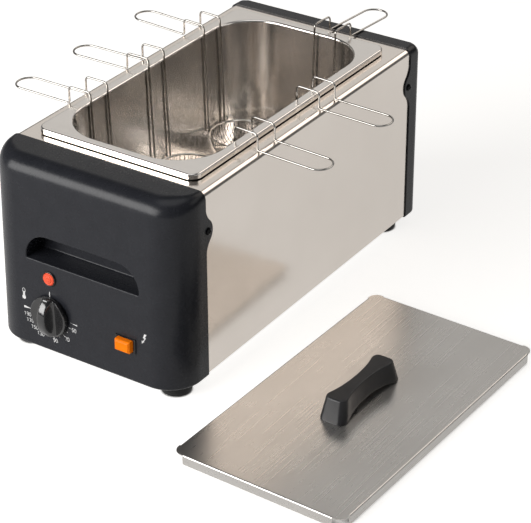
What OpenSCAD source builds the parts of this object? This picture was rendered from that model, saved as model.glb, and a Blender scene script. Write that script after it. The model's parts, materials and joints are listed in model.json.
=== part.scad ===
// Table-top deep fryer with hanging one-portion baskets and a lift-off lid.
// Origin: on the table, under the middle of the steel body. The control panel faces -Y, +Z is up.

/* [Body] */
// Width of the steel body
body_w = 211; // [204:1:240]
// Length of the steel body that shows between the end caps
body_l = 352.5; // [342:0.5:400]
// Height of the top plate above the table
body_top = 200; // [192:1:240]
// Height of the body's underside above the table
foot_h = 14; // [10:1:24]
// Thickness of the steel sheet
sheet_t = 0.8; // [0.6:0.1:1.2]
// Outer radius of the body's two long top folds
fold_r = 6.5; // [4:0.5:10]
// Width of the body's turned-in bottom edges
hem_w = 14; // [12:1:20]

/* [End caps] */
// Depth of the front cap beyond the steel body
cap_depth = 43.5; // [39:0.5:60]
// Depth of the rear cap beyond the steel body
rear_depth = 23; // [23:0.5:44]
// Wall thickness of the end caps
cap_wall = 2.5; // [2:0.1:3]
// Thickness of the lip that covers the steel's edge
cap_lip = 1.2; // [0.9:0.1:1.6]
// Length of steel that the lip covers
cap_lap = 8; // [6:0.5:10]
// Radius of the front cap's upright outer corners
cap_corner_r = 33; // [22:1:36]
// Radius of the front cap's outer top edge
cap_top_r = 18; // [12:1:20]
// Radius of the rear cap's upright corners; its outer top edge is 1 mm tighter
rear_r = 12; // [9:0.5:13]
// Radius of the caps' bottom edge
cap_foot_r = 3; // [2:0.5:4]
// Lean of the front face, in degrees
face_draft = 1.5; // [0:0.1:2]
// Radius of the round tab that carries the side screw
tab_r = 14; // [11:0.5:15]
// Distance the tab reaches over the steel beyond the cap's edge
tab_reach = 10; // [6:0.5:11]
// Height of the side screws above the table
tab_z = 161.5; // [150:0.5:170]

/* [Grip recess] */
// Width of the grip recess
grip_w = 126; // [100:1:140]
// Height of the grip recess
grip_h = 26; // [24:0.5:32]
// Radius of the recess's top corners
grip_r = 24; // [15:1:24]
// Height of the recess's flat lower edge above the table
grip_z = 104.5; // [98:0.5:115]
// Depth of the recess in the front cap
grip_deep = 24; // [18:1:26]
// Depth of the recess in the rear cap
rear_grip_deep = 12; // [8:0.5:12.5]

/* [Pan] */
// Distance from the body's side to the pan's flange
side_shelf = 17.5; // [17:0.5:22]
// Distance from an end cap's edge to the pan's flange, with the pan in the middle
end_shelf = 13.75; // [10.5:0.25:20]
// Width of the pan's flat flange
rim_w = 10.4; // [9:0.1:12]
// Radius of the pan opening's corners
pan_r = 48; // [40:1:52]
// Radius of the flange's outer corners
rim_r = 11; // [8:0.5:14]
// Height of the flange above the top plate
rim_h = 6.3; // [5.5:0.1:8]
// Inner depth of the pan
pan_depth = 150; // [130:1:152]
// Radius between the pan's walls and floor
pan_floor_r = 20; // [12:1:24]
// Draft of the pan's walls, in degrees
pan_draft = 2; // [1:0.1:3]
// Offset of the pan from the body's centre, towards the front
pan_forward = 3; // [0:0.5:4]

/* [Controls] */
// Diameter of the thermostat knob
knob_d = 40; // [36:1:44]
// Height of the knob's skirt
skirt_h = 5; // [4:0.5:6]
// Height of the whole knob
knob_h = 15; // [13:0.5:17]
// Thickness of the knob's grip bar
bar_t = 9; // [7:0.5:11]
// Distance of the knob and lamp left of centre
knob_left = 37; // [34:0.5:46]
// Height of the knob's axis above the table
knob_z = 52; // [44:0.5:54]
// Height of the pilot lamp above the table
lamp_z = 90; // [84:0.5:91]
// Diameter of the pilot lamp's bezel
lamp_d = 15; // [13:0.5:16]
// Width of the push switch's bezel
switch_w = 22.8; // [21:0.2:26]
// Height of the push switch's bezel
switch_h = 15.2; // [14:0.2:18]
// Distance of the switch right of centre
switch_right = 48; // [38:0.5:52]
// Height of the switch's middle above the table
switch_z = 51; // [42:0.5:56]
// Travel of the push switch
switch_travel = 2.5; // [2:0.1:3]

/* [Baskets] */
// Diameter of the basket wire
wire_d = 2; // [1.6:0.1:2.4]
// Distance between the two wires of a basket
wire_gap = 25.5; // [22:0.5:28]
// Height of the hook above the top plate
hook_h = 17; // [14:0.5:22]
// Distance from the inner leg to the outer leg
hook_span = 25; // [24:0.5:28]
// Length of the wire handle beyond the outer legs
handle_l = 71; // [55:1:90]
// Diameter of the basket's ring
ring_d = 60; // [50:1:60]
// Depth of the basket's ring below the pan's flange
ring_drop = 103; // [90:1:108]
// Thickness of the mesh bowl
mesh_t = 0.9; // [0.7:0.1:1.2]

/* [Lid] */
// Width of the lid
lid_w = 175.5; // [160:0.5:190]
// Length of the lid
lid_l = 321; // [290:1:335]
// Height of the lid's turned-down skirts
lid_h = 9.5; // [8:0.5:12]
// Corner radius of the lid
lid_r = 9; // [6:0.5:12]
// Length left open at each corner between two skirts
lid_notch = 11; // [10:0.5:16]
// Distance of the lid's middle from the body's middle, to the right
lid_away = 236.5; // [230:0.5:300]
// Distance of the lid's middle from the body's middle, to the front
lid_forward = 128; // [0:1:140]
// Turn of the lid on the table, in degrees
lid_turn = -1.75; // [-5:0.25:5]
// Length of the lid handle at its foot
grip_foot_l = 98; // [80:1:120]
// Width of the lid handle at its foot
grip_foot_w = 27; // [24:0.5:32]
// Height of the lid handle
lid_grip_h = 22; // [18:0.5:28]
// Depth of the handle's waist on each side
waist = 4.5; // [2:0.5:5]
// Height of the gap under the handle's sides
arch_h = 4.5; // [3:0.5:6]

/* [Hidden] */
$fn = 64;
eps = 0.01;
fit = 0.1; // gap between fixed pieces
seat = 0.03; // gap behind what stands on an end face
slip = 0.3; // gap round a moving piece
shaft_slip = 0.05; // radial gap of a turning shaft

// Heights
cap_proud = cap_lip + fit;
cap_bottom = foot_h - cap_proud;
cap_top = body_top + cap_proud;
tab_blend = 20;
rim_top = body_top + rim_h;
pan_t = 0.8;
pan_floor = rim_top - pan_depth;
pan_under = pan_floor - pan_t;
base_t = 1;
hem_z = foot_h + base_t;

// Plan
steel_end = body_l / 2 + cap_lap;
face_y = body_l / 2 + cap_depth;
rear_y = body_l / 2 + rear_depth;
cap_half_w = body_w / 2 + cap_proud;
bulk_t = 1;
bulk_flange = cap_lap + 7;
pan_y = -pan_forward;
pan_w = body_w - 2 * side_shelf;
pan_l = body_l - 2 * end_shelf;
open_w = pan_w - 2 * rim_w;
open_l = pan_l - 2 * rim_w;
cut_gap = 2;
cut_w = open_w + 2 * pan_t + 2 * cut_gap;
cut_l = open_l + 2 * pan_t + 2 * cut_gap;
cut_r = pan_r + pan_t + cut_gap;
draft_in = (pan_depth - pan_floor_r) * tan(pan_draft);
floor_w = open_w - 2 * draft_in;
floor_l = open_l - 2 * draft_in;

// Heater stack under the pan
plate_t = 4;
plate_w = 112;
plate_l = 230;
rod_d = 6.5;
run_gap = 28;
run_l = 150;
plate_under = pan_under - plate_t;
rod_z = plate_under - rod_d / 2;
clamp_t = 1.5;
clamp_w = 12;
clamp_y = 50;
clamp_top = rod_z - rod_d / 2;
stud_d = 4;
stud_x = plate_w / 2 + 5;
clamp_l = 2 * stud_x + 10;
nut_h = 3.2;
nut_w = 7;
nut_z = clamp_top - clamp_t - nut_h;
stud_low = nut_z - 1.5;
shield_t = 0.6;
shield_gap = 2;
shield_floor = stud_low - shield_gap - shield_t;
shield_x = open_w / 2 + 14;
shield_y = open_l / 2 + 4.5;
shield_top = body_top - sheet_t - 1;
shield_r = 20;
blanket_low = pan_floor;
blanket_top = shield_top - 8;

// Wire holes through the shield and the bulkheads
duct_z = foot_h + 10;
duct_x = 6;
duct_d = 12;
tail_x = 8;
tail_z = shield_floor + 14;
tail_d = 9;

// Controls
knob_x = -knob_left;
shaft_d = 6;
stat_w = 44;
stat_h = 44;
stat_l = 20;
stat_front = steel_end + stat_l;
tail_out_x = knob_x + stat_w / 2 + 8;
bush_d = 10;
bush_l = 4;
bush_hole = bush_d + 2;
knob_gap = 0.6;
knob_bore = shaft_d + fit;
knob_back = face_front(knob_z - knob_d / 2) + knob_gap;
bore_l = 10;
lamp_barrel = lamp_d - 3;
lamp_lens = lamp_d - 2.6;
lamp_back = 22;
switch_body_w = switch_w - 3.4;
switch_body_h = switch_h - 1;
switch_back = 22;
cap_key_w = switch_body_w - 2.6;
cap_key_h = switch_body_h - 2.4;
key_out = 5.5;
key_in = 6;
bezel_t = 1.5;

// Baskets: place of each along the straight half of its wall, and the turn of its handle
basket_in = 1.2;
rear_in = 3.1;
side_wall = open_l / 2 - pan_r;
rear_wall = open_w / 2 - pan_r;
left_baskets = [[-0.831 * side_wall, 0], [0.029 * side_wall, 1], [0.932 * side_wall, -4]];
right_baskets = [[-0.692 * side_wall, -3.5], [0.288 * side_wall, -2.5]];
rear_basket = [0.929 * rear_wall, -5];
side_leg = open_w / 2 - basket_in;
rear_leg = pan_y + open_l / 2 - rear_in;
rest_gap = 0.2;
bend_r = 4;
foot_bend = 2.5;
ring_z = rim_top - ring_drop;
ring_wire = wire_d;
touch = 0.03;

// Feet and fasteners
foot_d = 29.6;
foot_x = body_w / 2 - 23;
foot_y = steel_end + 9;
rear_foot_y = body_l / 2 - 7.5;
foot_bore = 4.4;
foot_sink = 11;
screw_d = 4;
boss_d = 10;
side_screw_d = 3.5;
head_d = 7;
head_h = 2.2;
base_screw_y = body_l / 2 - 44.5;
base_screw_x = body_w / 2 - sheet_t - 8;
grip_screw_y = grip_foot_l / 2 - 7;

// Gland in the rear cap and the mains block behind it
gland_x = 55;
gland_z = 40;
gland_bore = 7.2;
gland_d = 12;
gland_flange = 18;
block_x = -10;
block_z = 44;
block_w = 34;
block_h = 20;
block_l = 12;

basket_names = ["left_1", "left_2", "left_3", "right_1", "right_2", "rear"];

steel = "silver";
black = [0.12, 0.12, 0.13];

// Distance of the front cap's face from the middle at a height; it is face_y at half the body's height
function face_front(z) = face_y + (body_top / 2 - z) * tan(face_draft);
// The same for either cap; the rear face is upright
function face_at(is_front, z) = is_front ? face_front(z) : rear_y;
function unit(v) = v / norm(v);

// Flat outlines ---------------------------------------------------------

module rounded(w, l, r) {
    square([w - 2 * r, l], center = true);
    square([w, l - 2 * r], center = true);
    for (x = [-1, 1], y = [-1, 1])
        translate([x * (w / 2 - r), y * (l / 2 - r)]) circle(r);
}

// Upright outline that is rounded only at its top corners, standing on y = 0
module arch_outline(w, h, r) {
    intersection() {
        union() {
            translate([-w / 2, 0]) square([w, h - r]);
            translate([r - w / 2, 0]) square([w - 2 * r, h]);
            for (x = [-1, 1]) translate([x * (w / 2 - r), h - r]) circle(r);
        }
        translate([-w / 2, 0]) square([w, h]);
    }
}

module slab(w, l, h, r) {
    linear_extrude(h) rounded(w, l, r);
}

// Stands an upright outline up so that it is drawn in X and Z and runs l along +Y from y
module upright(y, l) {
    translate([0, y + l, 0]) rotate([90, 0, 0]) linear_extrude(l) children();
}

// Wires -----------------------------------------------------------------

// Points of one rounded bend at b, between a and c
function bend(a, b, c, r, n) =
    let (
        u = unit(a - b),
        w = unit(c - b),
        half = acos(u * w) / 2,
        reach = r / tan(half),
        mid = b + unit(u + w) * r / sin(half),
        e0 = b + u * reach - mid,
        e1 = b + w * reach - mid,
        sweep = 180 - 2 * half
    )
    [for (i = [0:n]) mid + (sin((1 - i / n) * sweep) * e0 + sin(i / n * sweep) * e1) / sin(sweep)];

// Route through corner points, each corner rounded by its own radius
function route(corners, radii, n) =
    let (last = len(corners) - 1)
    concat(
        [corners[0]],
        [for (i = [1:last - 1]) each bend(corners[i - 1], corners[i], corners[i + 1], radii[i - 1], n)],
        [corners[last]]
    );

function heading(p, i) =
    i == 0 ? unit(p[1] - p[0])
    : i == len(p) - 1 ? unit(p[i] - p[i - 1])
    : unit(unit(p[i + 1] - p[i]) + unit(p[i] - p[i - 1]));

// Side direction carried along the route without twisting
function carry(p, i, side) =
    i >= len(p) ? []
    : let (t = heading(p, i), s = unit(side - (side * t) * t)) concat([s], carry(p, i + 1, s));

module tube(p, d, sides, first_side) {
    frames = carry(p, 0, first_side);
    last = len(p) - 1;
    points = [
        for (i = [0:last], k = [0:sides - 1])
            let (a = 360 * k / sides)
            p[i] + d / 2 * (cos(a) * frames[i] + sin(a) * cross(heading(p, i), frames[i]))
    ];
    walls = [
        for (i = [0:last - 1], k = [0:sides - 1])
            let (m = (k + 1) % sides)
            each [
                [i * sides + k, i * sides + m, (i + 1) * sides + m],
                [i * sides + k, (i + 1) * sides + m, (i + 1) * sides + k]
            ]
    ];
    ends = [[for (k = [sides - 1:-1:0]) k], [for (k = [0:sides - 1]) last * sides + k]];
    polyhedron(points, [for (f = concat(walls, ends)) [for (k = [len(f) - 1:-1:0]) f[k]]]);
}

// Shell -----------------------------------------------------------------

module body_wrap() {
    color(steel) difference() {
        upright(-steel_end, 2 * steel_end) translate([0, hem_z]) {
            difference() {
                arch_outline(body_w, body_top - hem_z, fold_r);
                translate([0, -eps])
                    arch_outline(body_w - 2 * sheet_t, body_top - hem_z - sheet_t + eps, fold_r - sheet_t / 2);
            }
            for (x = [-1, 1])
                translate([x * (body_w / 2 - hem_w / 2), sheet_t / 2])
                    square([hem_w, sheet_t], center = true);
        }
        translate([0, pan_y, body_top - 2 * sheet_t]) slab(cut_w, cut_l, 4 * sheet_t, cut_r);
        side_screw_holes(side_screw_d + 0.3);
        base_screw_holes(3);
    }
}

module side_screw_holes(d) {
    for (y = [-1, 1])
        translate([-cap_half_w - 5, y * screw_y(), tab_z]) rotate([0, 90, 0])
            cylinder(d = d, h = 2 * cap_half_w + 10);
}

function screw_y() = body_l / 2 - 3;

module base_screw_holes(d) {
    for (x = [-1, 1], y = [-1, 0, 1])
        translate([x * base_screw_x, y * base_screw_y, foot_h - 2]) cylinder(d = d, h = 8);
}

module base_plate() {
    plate = 2 * (steel_end - 1);
    color("gray") difference() {
        translate([-body_w / 2 + 1.2, -plate / 2, foot_h]) cube([body_w - 2.4, plate, base_t]);
        base_screw_holes(3.6);
        for (x = [-60:15:60], y = [-1, 1])
            translate([x, y * 95, foot_h - 1]) linear_extrude(3) rounded(5, 70, 2.4);
        translate([earth_x, earth_y, foot_h - 1]) cylinder(d = screw_d + 0.3, h = 3);
        for (x = [-1, 1]) translate([x * foot_x, rear_foot_y, foot_h - 1]) cylinder(d = screw_d + 0.3, h = 3);
    }
}

// Steel wall that closes one end of the body, with its edge turned in on three sides
module bulkhead(is_front) {
    inner_w = body_w - 2 * sheet_t;
    low = hem_z + sheet_t;
    high = body_top - sheet_t - low;
    corner = fold_r - sheet_t / 2;
    color("gray") difference() {
        upright(-steel_end, bulk_flange) translate([0, low]) arch_outline(inner_w, high, corner);
        upright(-steel_end + bulk_t, bulk_flange) translate([0, low - 1])
            arch_outline(inner_w - 2 * bulk_t, high + 1 - bulk_t, corner - bulk_t);
        side_screw_holes(side_screw_d - 0.5);
        translate([duct_x, -steel_end - 1, duct_z]) rotate([-90, 0, 0])
            cylinder(d = duct_d, h = bulk_t + 2);
        if (is_front)
            translate([tail_out_x, -steel_end - 1, tail_z]) rotate([-90, 0, 0])
                cylinder(d = tail_d, h = bulk_t + 2);
    }
}

// Solid of an end cap, drawn at the front; inset shrinks it on every outer side
module cap_solid(is_front, inset) {
    r = (is_front ? cap_corner_r : rear_r) - inset;
    top = cap_top - inset;
    low = cap_bottom + inset;
    top_r = (is_front ? cap_top_r : rear_r - 1) - inset;
    foot_r = max(cap_foot_r - inset, 0.5);
    half = cap_half_w - inset;
    seam = body_l / 2;
    intersection() {
        translate([-body_w, -2 * seam, 0]) cube([2 * body_w, seam, 2 * body_top]);
        hull() for (x = [-1, 1]) {
            translate([x * (half - r), -face_at(is_front, low + foot_r) + inset + r, low]) {
                cylinder(r = r - foot_r, h = 1);
                translate([0, 0, foot_r]) cylinder(r = r, h = eps);
            }
            translate([x * (half - r), -face_at(is_front, top - top_r) + inset + r, top - top_r]) rotate_extrude()
                intersection() {
                    translate([r - top_r, 0]) circle(top_r);
                    square([r, top_r]);
                }
            // outline at the seam
            translate([x * (half - fold_r - cap_proud + inset), -seam, top - fold_r - cap_proud + inset])
                rotate([90, 0, 0]) cylinder(r = fold_r + cap_proud - inset, h = 2);
            translate([x * (half - foot_r) - foot_r, -seam - 2, low]) cube([2 * foot_r, 2, foot_r]);
        }
    }
}

// Round tab over the steel, blended into the cap's edge; +Y points away from the cap
module tab_outline() {
    far = 4 * tab_r;
    span = sqrt(pow(tab_r + tab_blend, 2) - pow(tab_r + tab_blend - tab_reach, 2)) + 1;
    difference() {
        offset(r = -tab_blend) offset(r = tab_blend) {
            translate([0, tab_reach - tab_r]) circle(tab_r);
            translate([-far, -far]) square([2 * far, far]);
        }
        translate([-2 * far, -cap_lap - 2 * far]) square([4 * far, 2 * far]);
        for (s = [-1, 1])
            translate([s * (span + far), 0]) square([2 * far, 4 * far], center = true);
    }
}

module grip_cut(is_front, extra, depth) {
    upright(-face_at(is_front, grip_z) - 2, depth + 2) translate([0, grip_z - extra])
        arch_outline(grip_w + 2 * extra, grip_h + 2 * extra, grip_r + extra);
}

module on_face(x, z) {
    translate([x, -face_front(z) - seat, z]) rotate([90 - face_draft, 0, 0]) children();
}

// Place on the rear face, with the rear cap drawn at the front
module on_rear(x, z) {
    translate([x, -rear_y - seat, z]) rotate([90, 0, 0]) children();
}

module foot_places() {
    for (x = [-1, 1], y = [-foot_y, rear_foot_y]) translate([x * foot_x, y, 0]) children();
}

// Moulded end cap with its grip recess and screw tabs. The front one has bosses for its feet, and the rear one
// has flat tongues under the base plate.
module end_cap(is_front) {
    wall_back = -steel_end - 0.2;
    front = is_front ? -face_y : -rear_y;
    deep = is_front ? grip_deep : rear_grip_deep;
    screw_at = is_front ? -foot_y : -rear_foot_y;
    color(black) difference() {
        union() {
            difference() {
                cap_solid(is_front, 0);
                // hollow in front of the steel, and the rebate that the steel fills
                intersection() {
                    cap_solid(is_front, cap_wall);
                    translate([-body_w, front - 50, 0]) cube([2 * body_w, wall_back - front + 50, 2 * body_top]);
                }
                upright(wall_back - eps, cap_lap + 1) translate([0, foot_h - fit])
                    arch_outline(body_w + 2 * fit, body_top - foot_h + 2 * fit, fold_r + fit);
            }
            difference() {
                intersection() {
                    grip_cut(is_front, 2, deep + 2);
                    cap_solid(is_front, 0);
                }
                grip_cut(is_front, 0, deep);
            }
            for (x = [-1, 1]) {
                if (is_front)
                    translate([x * foot_x, screw_at, cap_bottom + 0.5]) cylinder(d = boss_d, h = foot_sink + 8);
                else
                    translate([x * foot_x, screw_at, cap_bottom + 0.02]) cylinder(d = foot_d - 1, h = cap_lip - 0.07);
                translate([x * (cap_half_w - cap_lip / 2), -body_l / 2, tab_z]) rotate([0, 90, 0])
                    linear_extrude(cap_lip - 0.06, center = true) tab_outline();
            }
        }
        grip_cut(is_front, 0, deep);
        for (x = [-1, 1]) {
            translate([x * foot_x, screw_at, 0])
                cylinder(d = screw_d - (is_front ? 0.6 : -0.3), h = cap_bottom + foot_sink + 5);
            translate([x * (cap_half_w - 3), -screw_y(), tab_z]) rotate([0, 90, 0])
                cylinder(d = side_screw_d + 0.5, h = 8, center = true);
        }
        if (is_front) control_holes();
        else on_rear(gland_x, gland_z) translate([0, 0, -10]) cylinder(d = gland_d + 0.2, h = 20);
    }
}

module control_holes() {
    on_face(knob_x, knob_z) translate([0, 0, -10]) cylinder(d = bush_hole, h = 20);
    on_face(knob_x, lamp_z) translate([0, 0, -10]) cylinder(d = lamp_barrel + 0.2, h = 20);
    on_face(switch_right, switch_z) translate([0, 0, -5])
        cube([switch_body_w + 0.2, switch_body_h + 0.2, 20], center = true);
}

// Pan -------------------------------------------------------------------

// Tapered tub with a rounded floor; grow is the wall added all round
module tub(grow, top) {
    steps = 6;
    hull() {
        translate([0, pan_y, top - 1]) slab(open_w + 2 * grow, open_l + 2 * grow, 1, pan_r + grow);
        for (i = [0:steps]) {
            a = 90 * i / steps;
            in = pan_floor_r * (1 - sin(a));
            z = pan_floor + pan_floor_r * (1 - cos(a)) - grow;
            translate([0, pan_y, z])
                slab(floor_w + 2 * grow - 2 * in, floor_l + 2 * grow - 2 * in, eps, pan_r + grow - in - 2);
        }
    }
}

module pan() {
    lip = rim_h - 0.8;
    color(steel) difference() {
        union() {
            translate([0, pan_y, rim_top - pan_t]) slab(pan_w, pan_l, pan_t, rim_r);
            translate([0, pan_y, rim_top - lip]) difference() {
                slab(pan_w, pan_l, lip, rim_r);
                translate([0, 0, -1]) slab(pan_w - 2 * pan_t, pan_l - 2 * pan_t, lip + 1, rim_r - pan_t);
            }
            tub(pan_t, rim_top);
        }
        tub(0, rim_top + 1);
    }
}

// Soft seal between the flange and the top plate
module pan_gasket() {
    inner = 2 * 3.4;
    color("dimgray") translate([0, pan_y, body_top]) difference() {
        slab(pan_w - 5, pan_l - 5, rim_h - pan_t, rim_r);
        translate([0, 0, -1]) slab(open_w + inner, open_l + inner, rim_h + 2, pan_r + inner / 2);
    }
}

// Angle clips that hold the pan down from below the top plate
module pan_clips() {
    leg = 12;
    wall_x = open_w / 2 + pan_t + 0.05;
    color("gray") for (s = [-1, 1], y = [-1, 0, 1])
        translate([s * wall_x, pan_y + y * 80, body_top - sheet_t]) {
            translate([s * 0.5, 0, -leg / 2]) cube([1, 16, leg], center = true);
            translate([s * 5, 0, -0.5]) cube([10, 16, 1], center = true);
        }
}

// Heating ---------------------------------------------------------------

module heat_shield() {
    h = shield_top - shield_floor;
    color("gray") difference() {
        translate([0, pan_y, shield_floor]) slab(2 * shield_x, 2 * shield_y, h, shield_r);
        translate([0, pan_y, shield_floor + shield_t])
            slab(2 * (shield_x - shield_t), 2 * (shield_y - shield_t), h, shield_r - shield_t);
        translate([tail_x, pan_y - shield_y - 1, tail_z]) rotate([-90, 0, 0]) cylinder(d = tail_d, h = 3);
        translate([0, pan_y, shield_floor - 1]) for (x = [-1, 1], y = [-1, 1])
            translate([x * 60, y * 100, 0]) cylinder(d = 8, h = 3);
    }
    // four stand-offs down to the base plate
    color("gray") for (x = [-1, 1], y = [-1, 1])
        translate([x * 70, pan_y + y * 110, hem_z]) difference() {
            cylinder(d = 8, h = shield_floor - hem_z);
            translate([0, 0, -1]) cylinder(d = 4, h = shield_floor - hem_z + 1);
        }
}

module insulation() {
    fill_x = shield_x - shield_t - fit;
    fill_y = shield_y - shield_t - fit;
    grow = 2.4;
    color("khaki") translate([0, pan_y, blanket_low]) difference() {
        slab(2 * fill_x, 2 * fill_y, blanket_top - blanket_low, shield_r - shield_t);
        translate([0, 0, -1])
            slab(open_w + 2 * grow, open_l + 2 * grow, blanket_top - blanket_low + 2, pan_r + grow);
    }
}

module heat_spreader() {
    color("lightgray") translate([0, pan_y, plate_under]) difference() {
        slab(plate_w, plate_l, plate_t, 12);
        for (y = [-1, 1]) translate([0, y * (plate_l / 2 - 18), -1]) cylinder(d = 3, h = plate_t + 2);
    }
}

// Tubular element: four runs joined by half-round bends, with two cold ends towards the front
module heating_element() {
    color("slategray") translate([0, pan_y, rod_z]) {
        for (i = [0:3])
            translate([(i - 1.5) * run_gap, -run_l / 2, 0]) rotate([-90, 0, 0]) cylinder(d = rod_d, h = run_l);
        for (x = [-1, 1])
            translate([x * run_gap, run_l / 2, 0]) rotate_extrude(angle = 180)
                translate([run_gap / 2, 0]) circle(d = rod_d);
        translate([0, -run_l / 2, 0]) rotate([0, 0, 180]) rotate_extrude(angle = 180)
            translate([run_gap / 2, 0]) circle(d = rod_d);
        for (x = [-1.5, 1.5])
            translate([x * run_gap, -run_l / 2 - 22, 0]) rotate([-90, 0, 0]) {
                cylinder(d = rod_d, h = 22);
                translate([0, 0, -12]) cylinder(d = 2.4, h = 14);
            }
    }
}

module stud_places() {
    for (x = [-1, 1], y = [-1, 1]) translate([x * stud_x, pan_y + y * clamp_y, 0]) children();
}

module element_studs() {
    color("gray") stud_places() translate([0, 0, stud_low]) cylinder(d = stud_d, h = pan_under - stud_low);
}

module clamp_bars() {
    color("gray") for (y = [-1, 1])
        translate([0, pan_y + y * clamp_y, clamp_top - clamp_t]) difference() {
            linear_extrude(clamp_t) rounded(clamp_l, clamp_w, 3);
            for (x = [-1, 1]) translate([x * stud_x, 0, -1]) cylinder(d = stud_d + fit, h = clamp_t + 2);
        }
}

module clamp_nuts() {
    color("gray") stud_places() translate([0, 0, nut_z]) difference() {
        cylinder(d = nut_w / cos(30), h = nut_h, $fn = 6);
        translate([0, 0, -1]) cylinder(d = stud_d + fit, h = nut_h + 2);
    }
}

// Bimetal cut-out on the spreader between the two middle runs
module safety_cutout() {
    color("tan") translate([0, pan_y, plate_under]) {
        translate([0, 0, -6]) cylinder(d = 15, h = 6);
        translate([0, 0, -1]) cube([6, 24, 2], center = true);
        for (x = [-4.5, 4.5]) translate([x, 0, -8]) cube([0.8, 5, 6], center = true);
    }
}

// Controls --------------------------------------------------------------

module thermostat() {
    color("ivory") difference() {
        union() {
            translate([knob_x, -steel_end - stat_l / 2, knob_z]) cube([stat_w, stat_l, stat_h], center = true);
            translate([knob_x, -stat_front, knob_z]) rotate([90, 0, 0]) cylinder(d = bush_d, h = bush_l);
            for (x = [-14, 0, 14]) translate([knob_x + x, -steel_end - 8, knob_z - stat_h / 2 - 4])
                cube([6, 0.8, 9], center = true);
        }
        translate([knob_x, -stat_front + 9, knob_z]) rotate([90, 0, 0])
            cylinder(d = shaft_d + 2 * shaft_slip, h = bush_l + 12);
    }
}

module thermostat_shaft() {
    inner = stat_front - 9 + slip;
    tip = knob_back + bore_l - 0.5;
    color("silver") translate([knob_x, -inner, knob_z]) rotate([90, 0, 0]) cylinder(d = shaft_d, h = tip - inner);
}

bulb_l = 80;
module sensor_bulb() {
    color("goldenrod") translate([run_gap, pan_y - bulb_l / 2, plate_under - 3]) rotate([-90, 0, 0])
        cylinder(d = 6, h = bulb_l);
}

capillary_corners = [
    [run_gap, pan_y - bulb_l / 2, plate_under - 3],
    [run_gap, pan_y - plate_l / 2, plate_under - 3],
    [tail_x, pan_y - shield_y + 10, tail_z],
    [tail_x, pan_y - shield_y - 5, tail_z],
    [tail_out_x, -steel_end + 5, tail_z],
    [tail_out_x, -steel_end - 10, tail_z],
    [knob_x + stat_w / 2 + fit, -steel_end - 10, tail_z]
];

module capillary() {
    color("goldenrod")
        tube(route(capillary_corners, [10, 6, 4, 4, 4], 3), 1.6, 8, [0, 0, 1]);
}

module knob() {
    wedge = knob_d / 2 - 1;
    color(black) translate([knob_x, -knob_back, knob_z]) rotate([90, 0, 0]) difference() {
        union() {
            cylinder(d = knob_d, h = skirt_h - 1.5);
            translate([0, 0, skirt_h - 1.5]) cylinder(d1 = knob_d, d2 = knob_d - 3, h = 1.5, $fn = 96);
            intersection() {
                translate([0, 0, knob_h / 2]) cube([bar_t, knob_d, knob_h], center = true);
                translate([0, 0, -1]) cylinder(d = knob_d - 3, h = knob_h + 2);
                translate([-knob_d, 0, knob_h - wedge * 1.25]) rotate([0, 90, 0]) cylinder(r = wedge * 1.25, h = 2 * knob_d);
            }
        }
        translate([0, 0, -1]) cylinder(d = knob_bore, h = bore_l + 1);
        // hollow back of the skirt
        translate([0, 0, -1]) difference() {
            cylinder(d = knob_d - 5, h = skirt_h - 1);
            cylinder(d = knob_bore + 5, h = skirt_h + 1);
        }
    }
}

module lamp_bezel() {
    color(black) on_face(knob_x, lamp_z) difference() {
        union() {
            cylinder(d = lamp_d, h = 1.2);
            translate([0, 0, -lamp_back]) cylinder(d = lamp_barrel, h = lamp_back);
            for (x = [-3, 3]) translate([x, 0, -lamp_back - 3]) cube([0.8, 3, 8], center = true);
        }
        translate([0, 0, -6]) cylinder(d = lamp_barrel - 2, h = 8);
        translate([0, 0, 0]) cylinder(d = lamp_lens + fit, h = 2);
    }
}

module lamp_lens() {
    dome_r = 14;
    color("orangered") on_face(knob_x, lamp_z) {
        intersection() {
            cylinder(d = lamp_lens, h = 3);
            translate([0, 0, 2.4 - dome_r]) sphere(dome_r, $fn = 96);
        }
        translate([0, 0, -5]) cylinder(d = lamp_barrel - 2 - fit, h = 5 + eps);
    }
}

module switch_housing() {
    color(black) on_face(switch_right, switch_z) difference() {
        union() {
            linear_extrude(bezel_t) rounded(switch_w, switch_h, 1);
            translate([0, 0, -switch_back / 2]) cube([switch_body_w, switch_body_h, switch_back], center = true);
            for (x = [-6, 0, 6]) translate([x, 0, -switch_back - 3]) cube([0.8, 5, 8], center = true);
        }
        translate([0, 0, bezel_t]) cube([cap_key_w + 2 * slip, cap_key_h + 2 * slip, 2 * (key_in + switch_travel + 1)], center = true);
    }
}

// Push key; its front edges are bevelled
module switch_key() {
    bevel = 1.6;
    body = key_in + key_out - bevel;
    color("darkorange") on_face(switch_right, switch_z) translate([0, 0, bezel_t - key_in]) {
        translate([0, 0, body / 2]) cube([cap_key_w, cap_key_h, body], center = true);
        hull() {
            translate([0, 0, body - eps]) cube([cap_key_w, cap_key_h, eps], center = true);
            translate([0, 0, body + bevel - eps])
                cube([cap_key_w - 2 * bevel, cap_key_h - 2 * bevel, eps], center = true);
        }
    }
}

// Mains side ------------------------------------------------------------

module terminal_block() {
    color("ivory") translate([block_x, steel_end + block_l / 2, block_z]) difference() {
        cube([block_w, block_l, block_h], center = true);
        for (i = [-1:1]) translate([i * 10, 0, 0]) {
            cylinder(d = 4.4, h = block_h + 2, center = true);
            translate([0, block_l / 2 - 3, 0]) rotate([90, 0, 0]) cylinder(d = 4.4, h = 8, center = true);
        }
    }
}

module terminal_screws() {
    color("gold") for (i = [-1:1])
        translate([block_x + i * 10, steel_end + block_l - 6.2, block_z]) rotate([-90, 0, 0]) cylinder(d = 4, h = 5);
}

module at_gland() {
    rotate([0, 0, 180]) on_rear(gland_x, gland_z) children();
}

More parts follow.
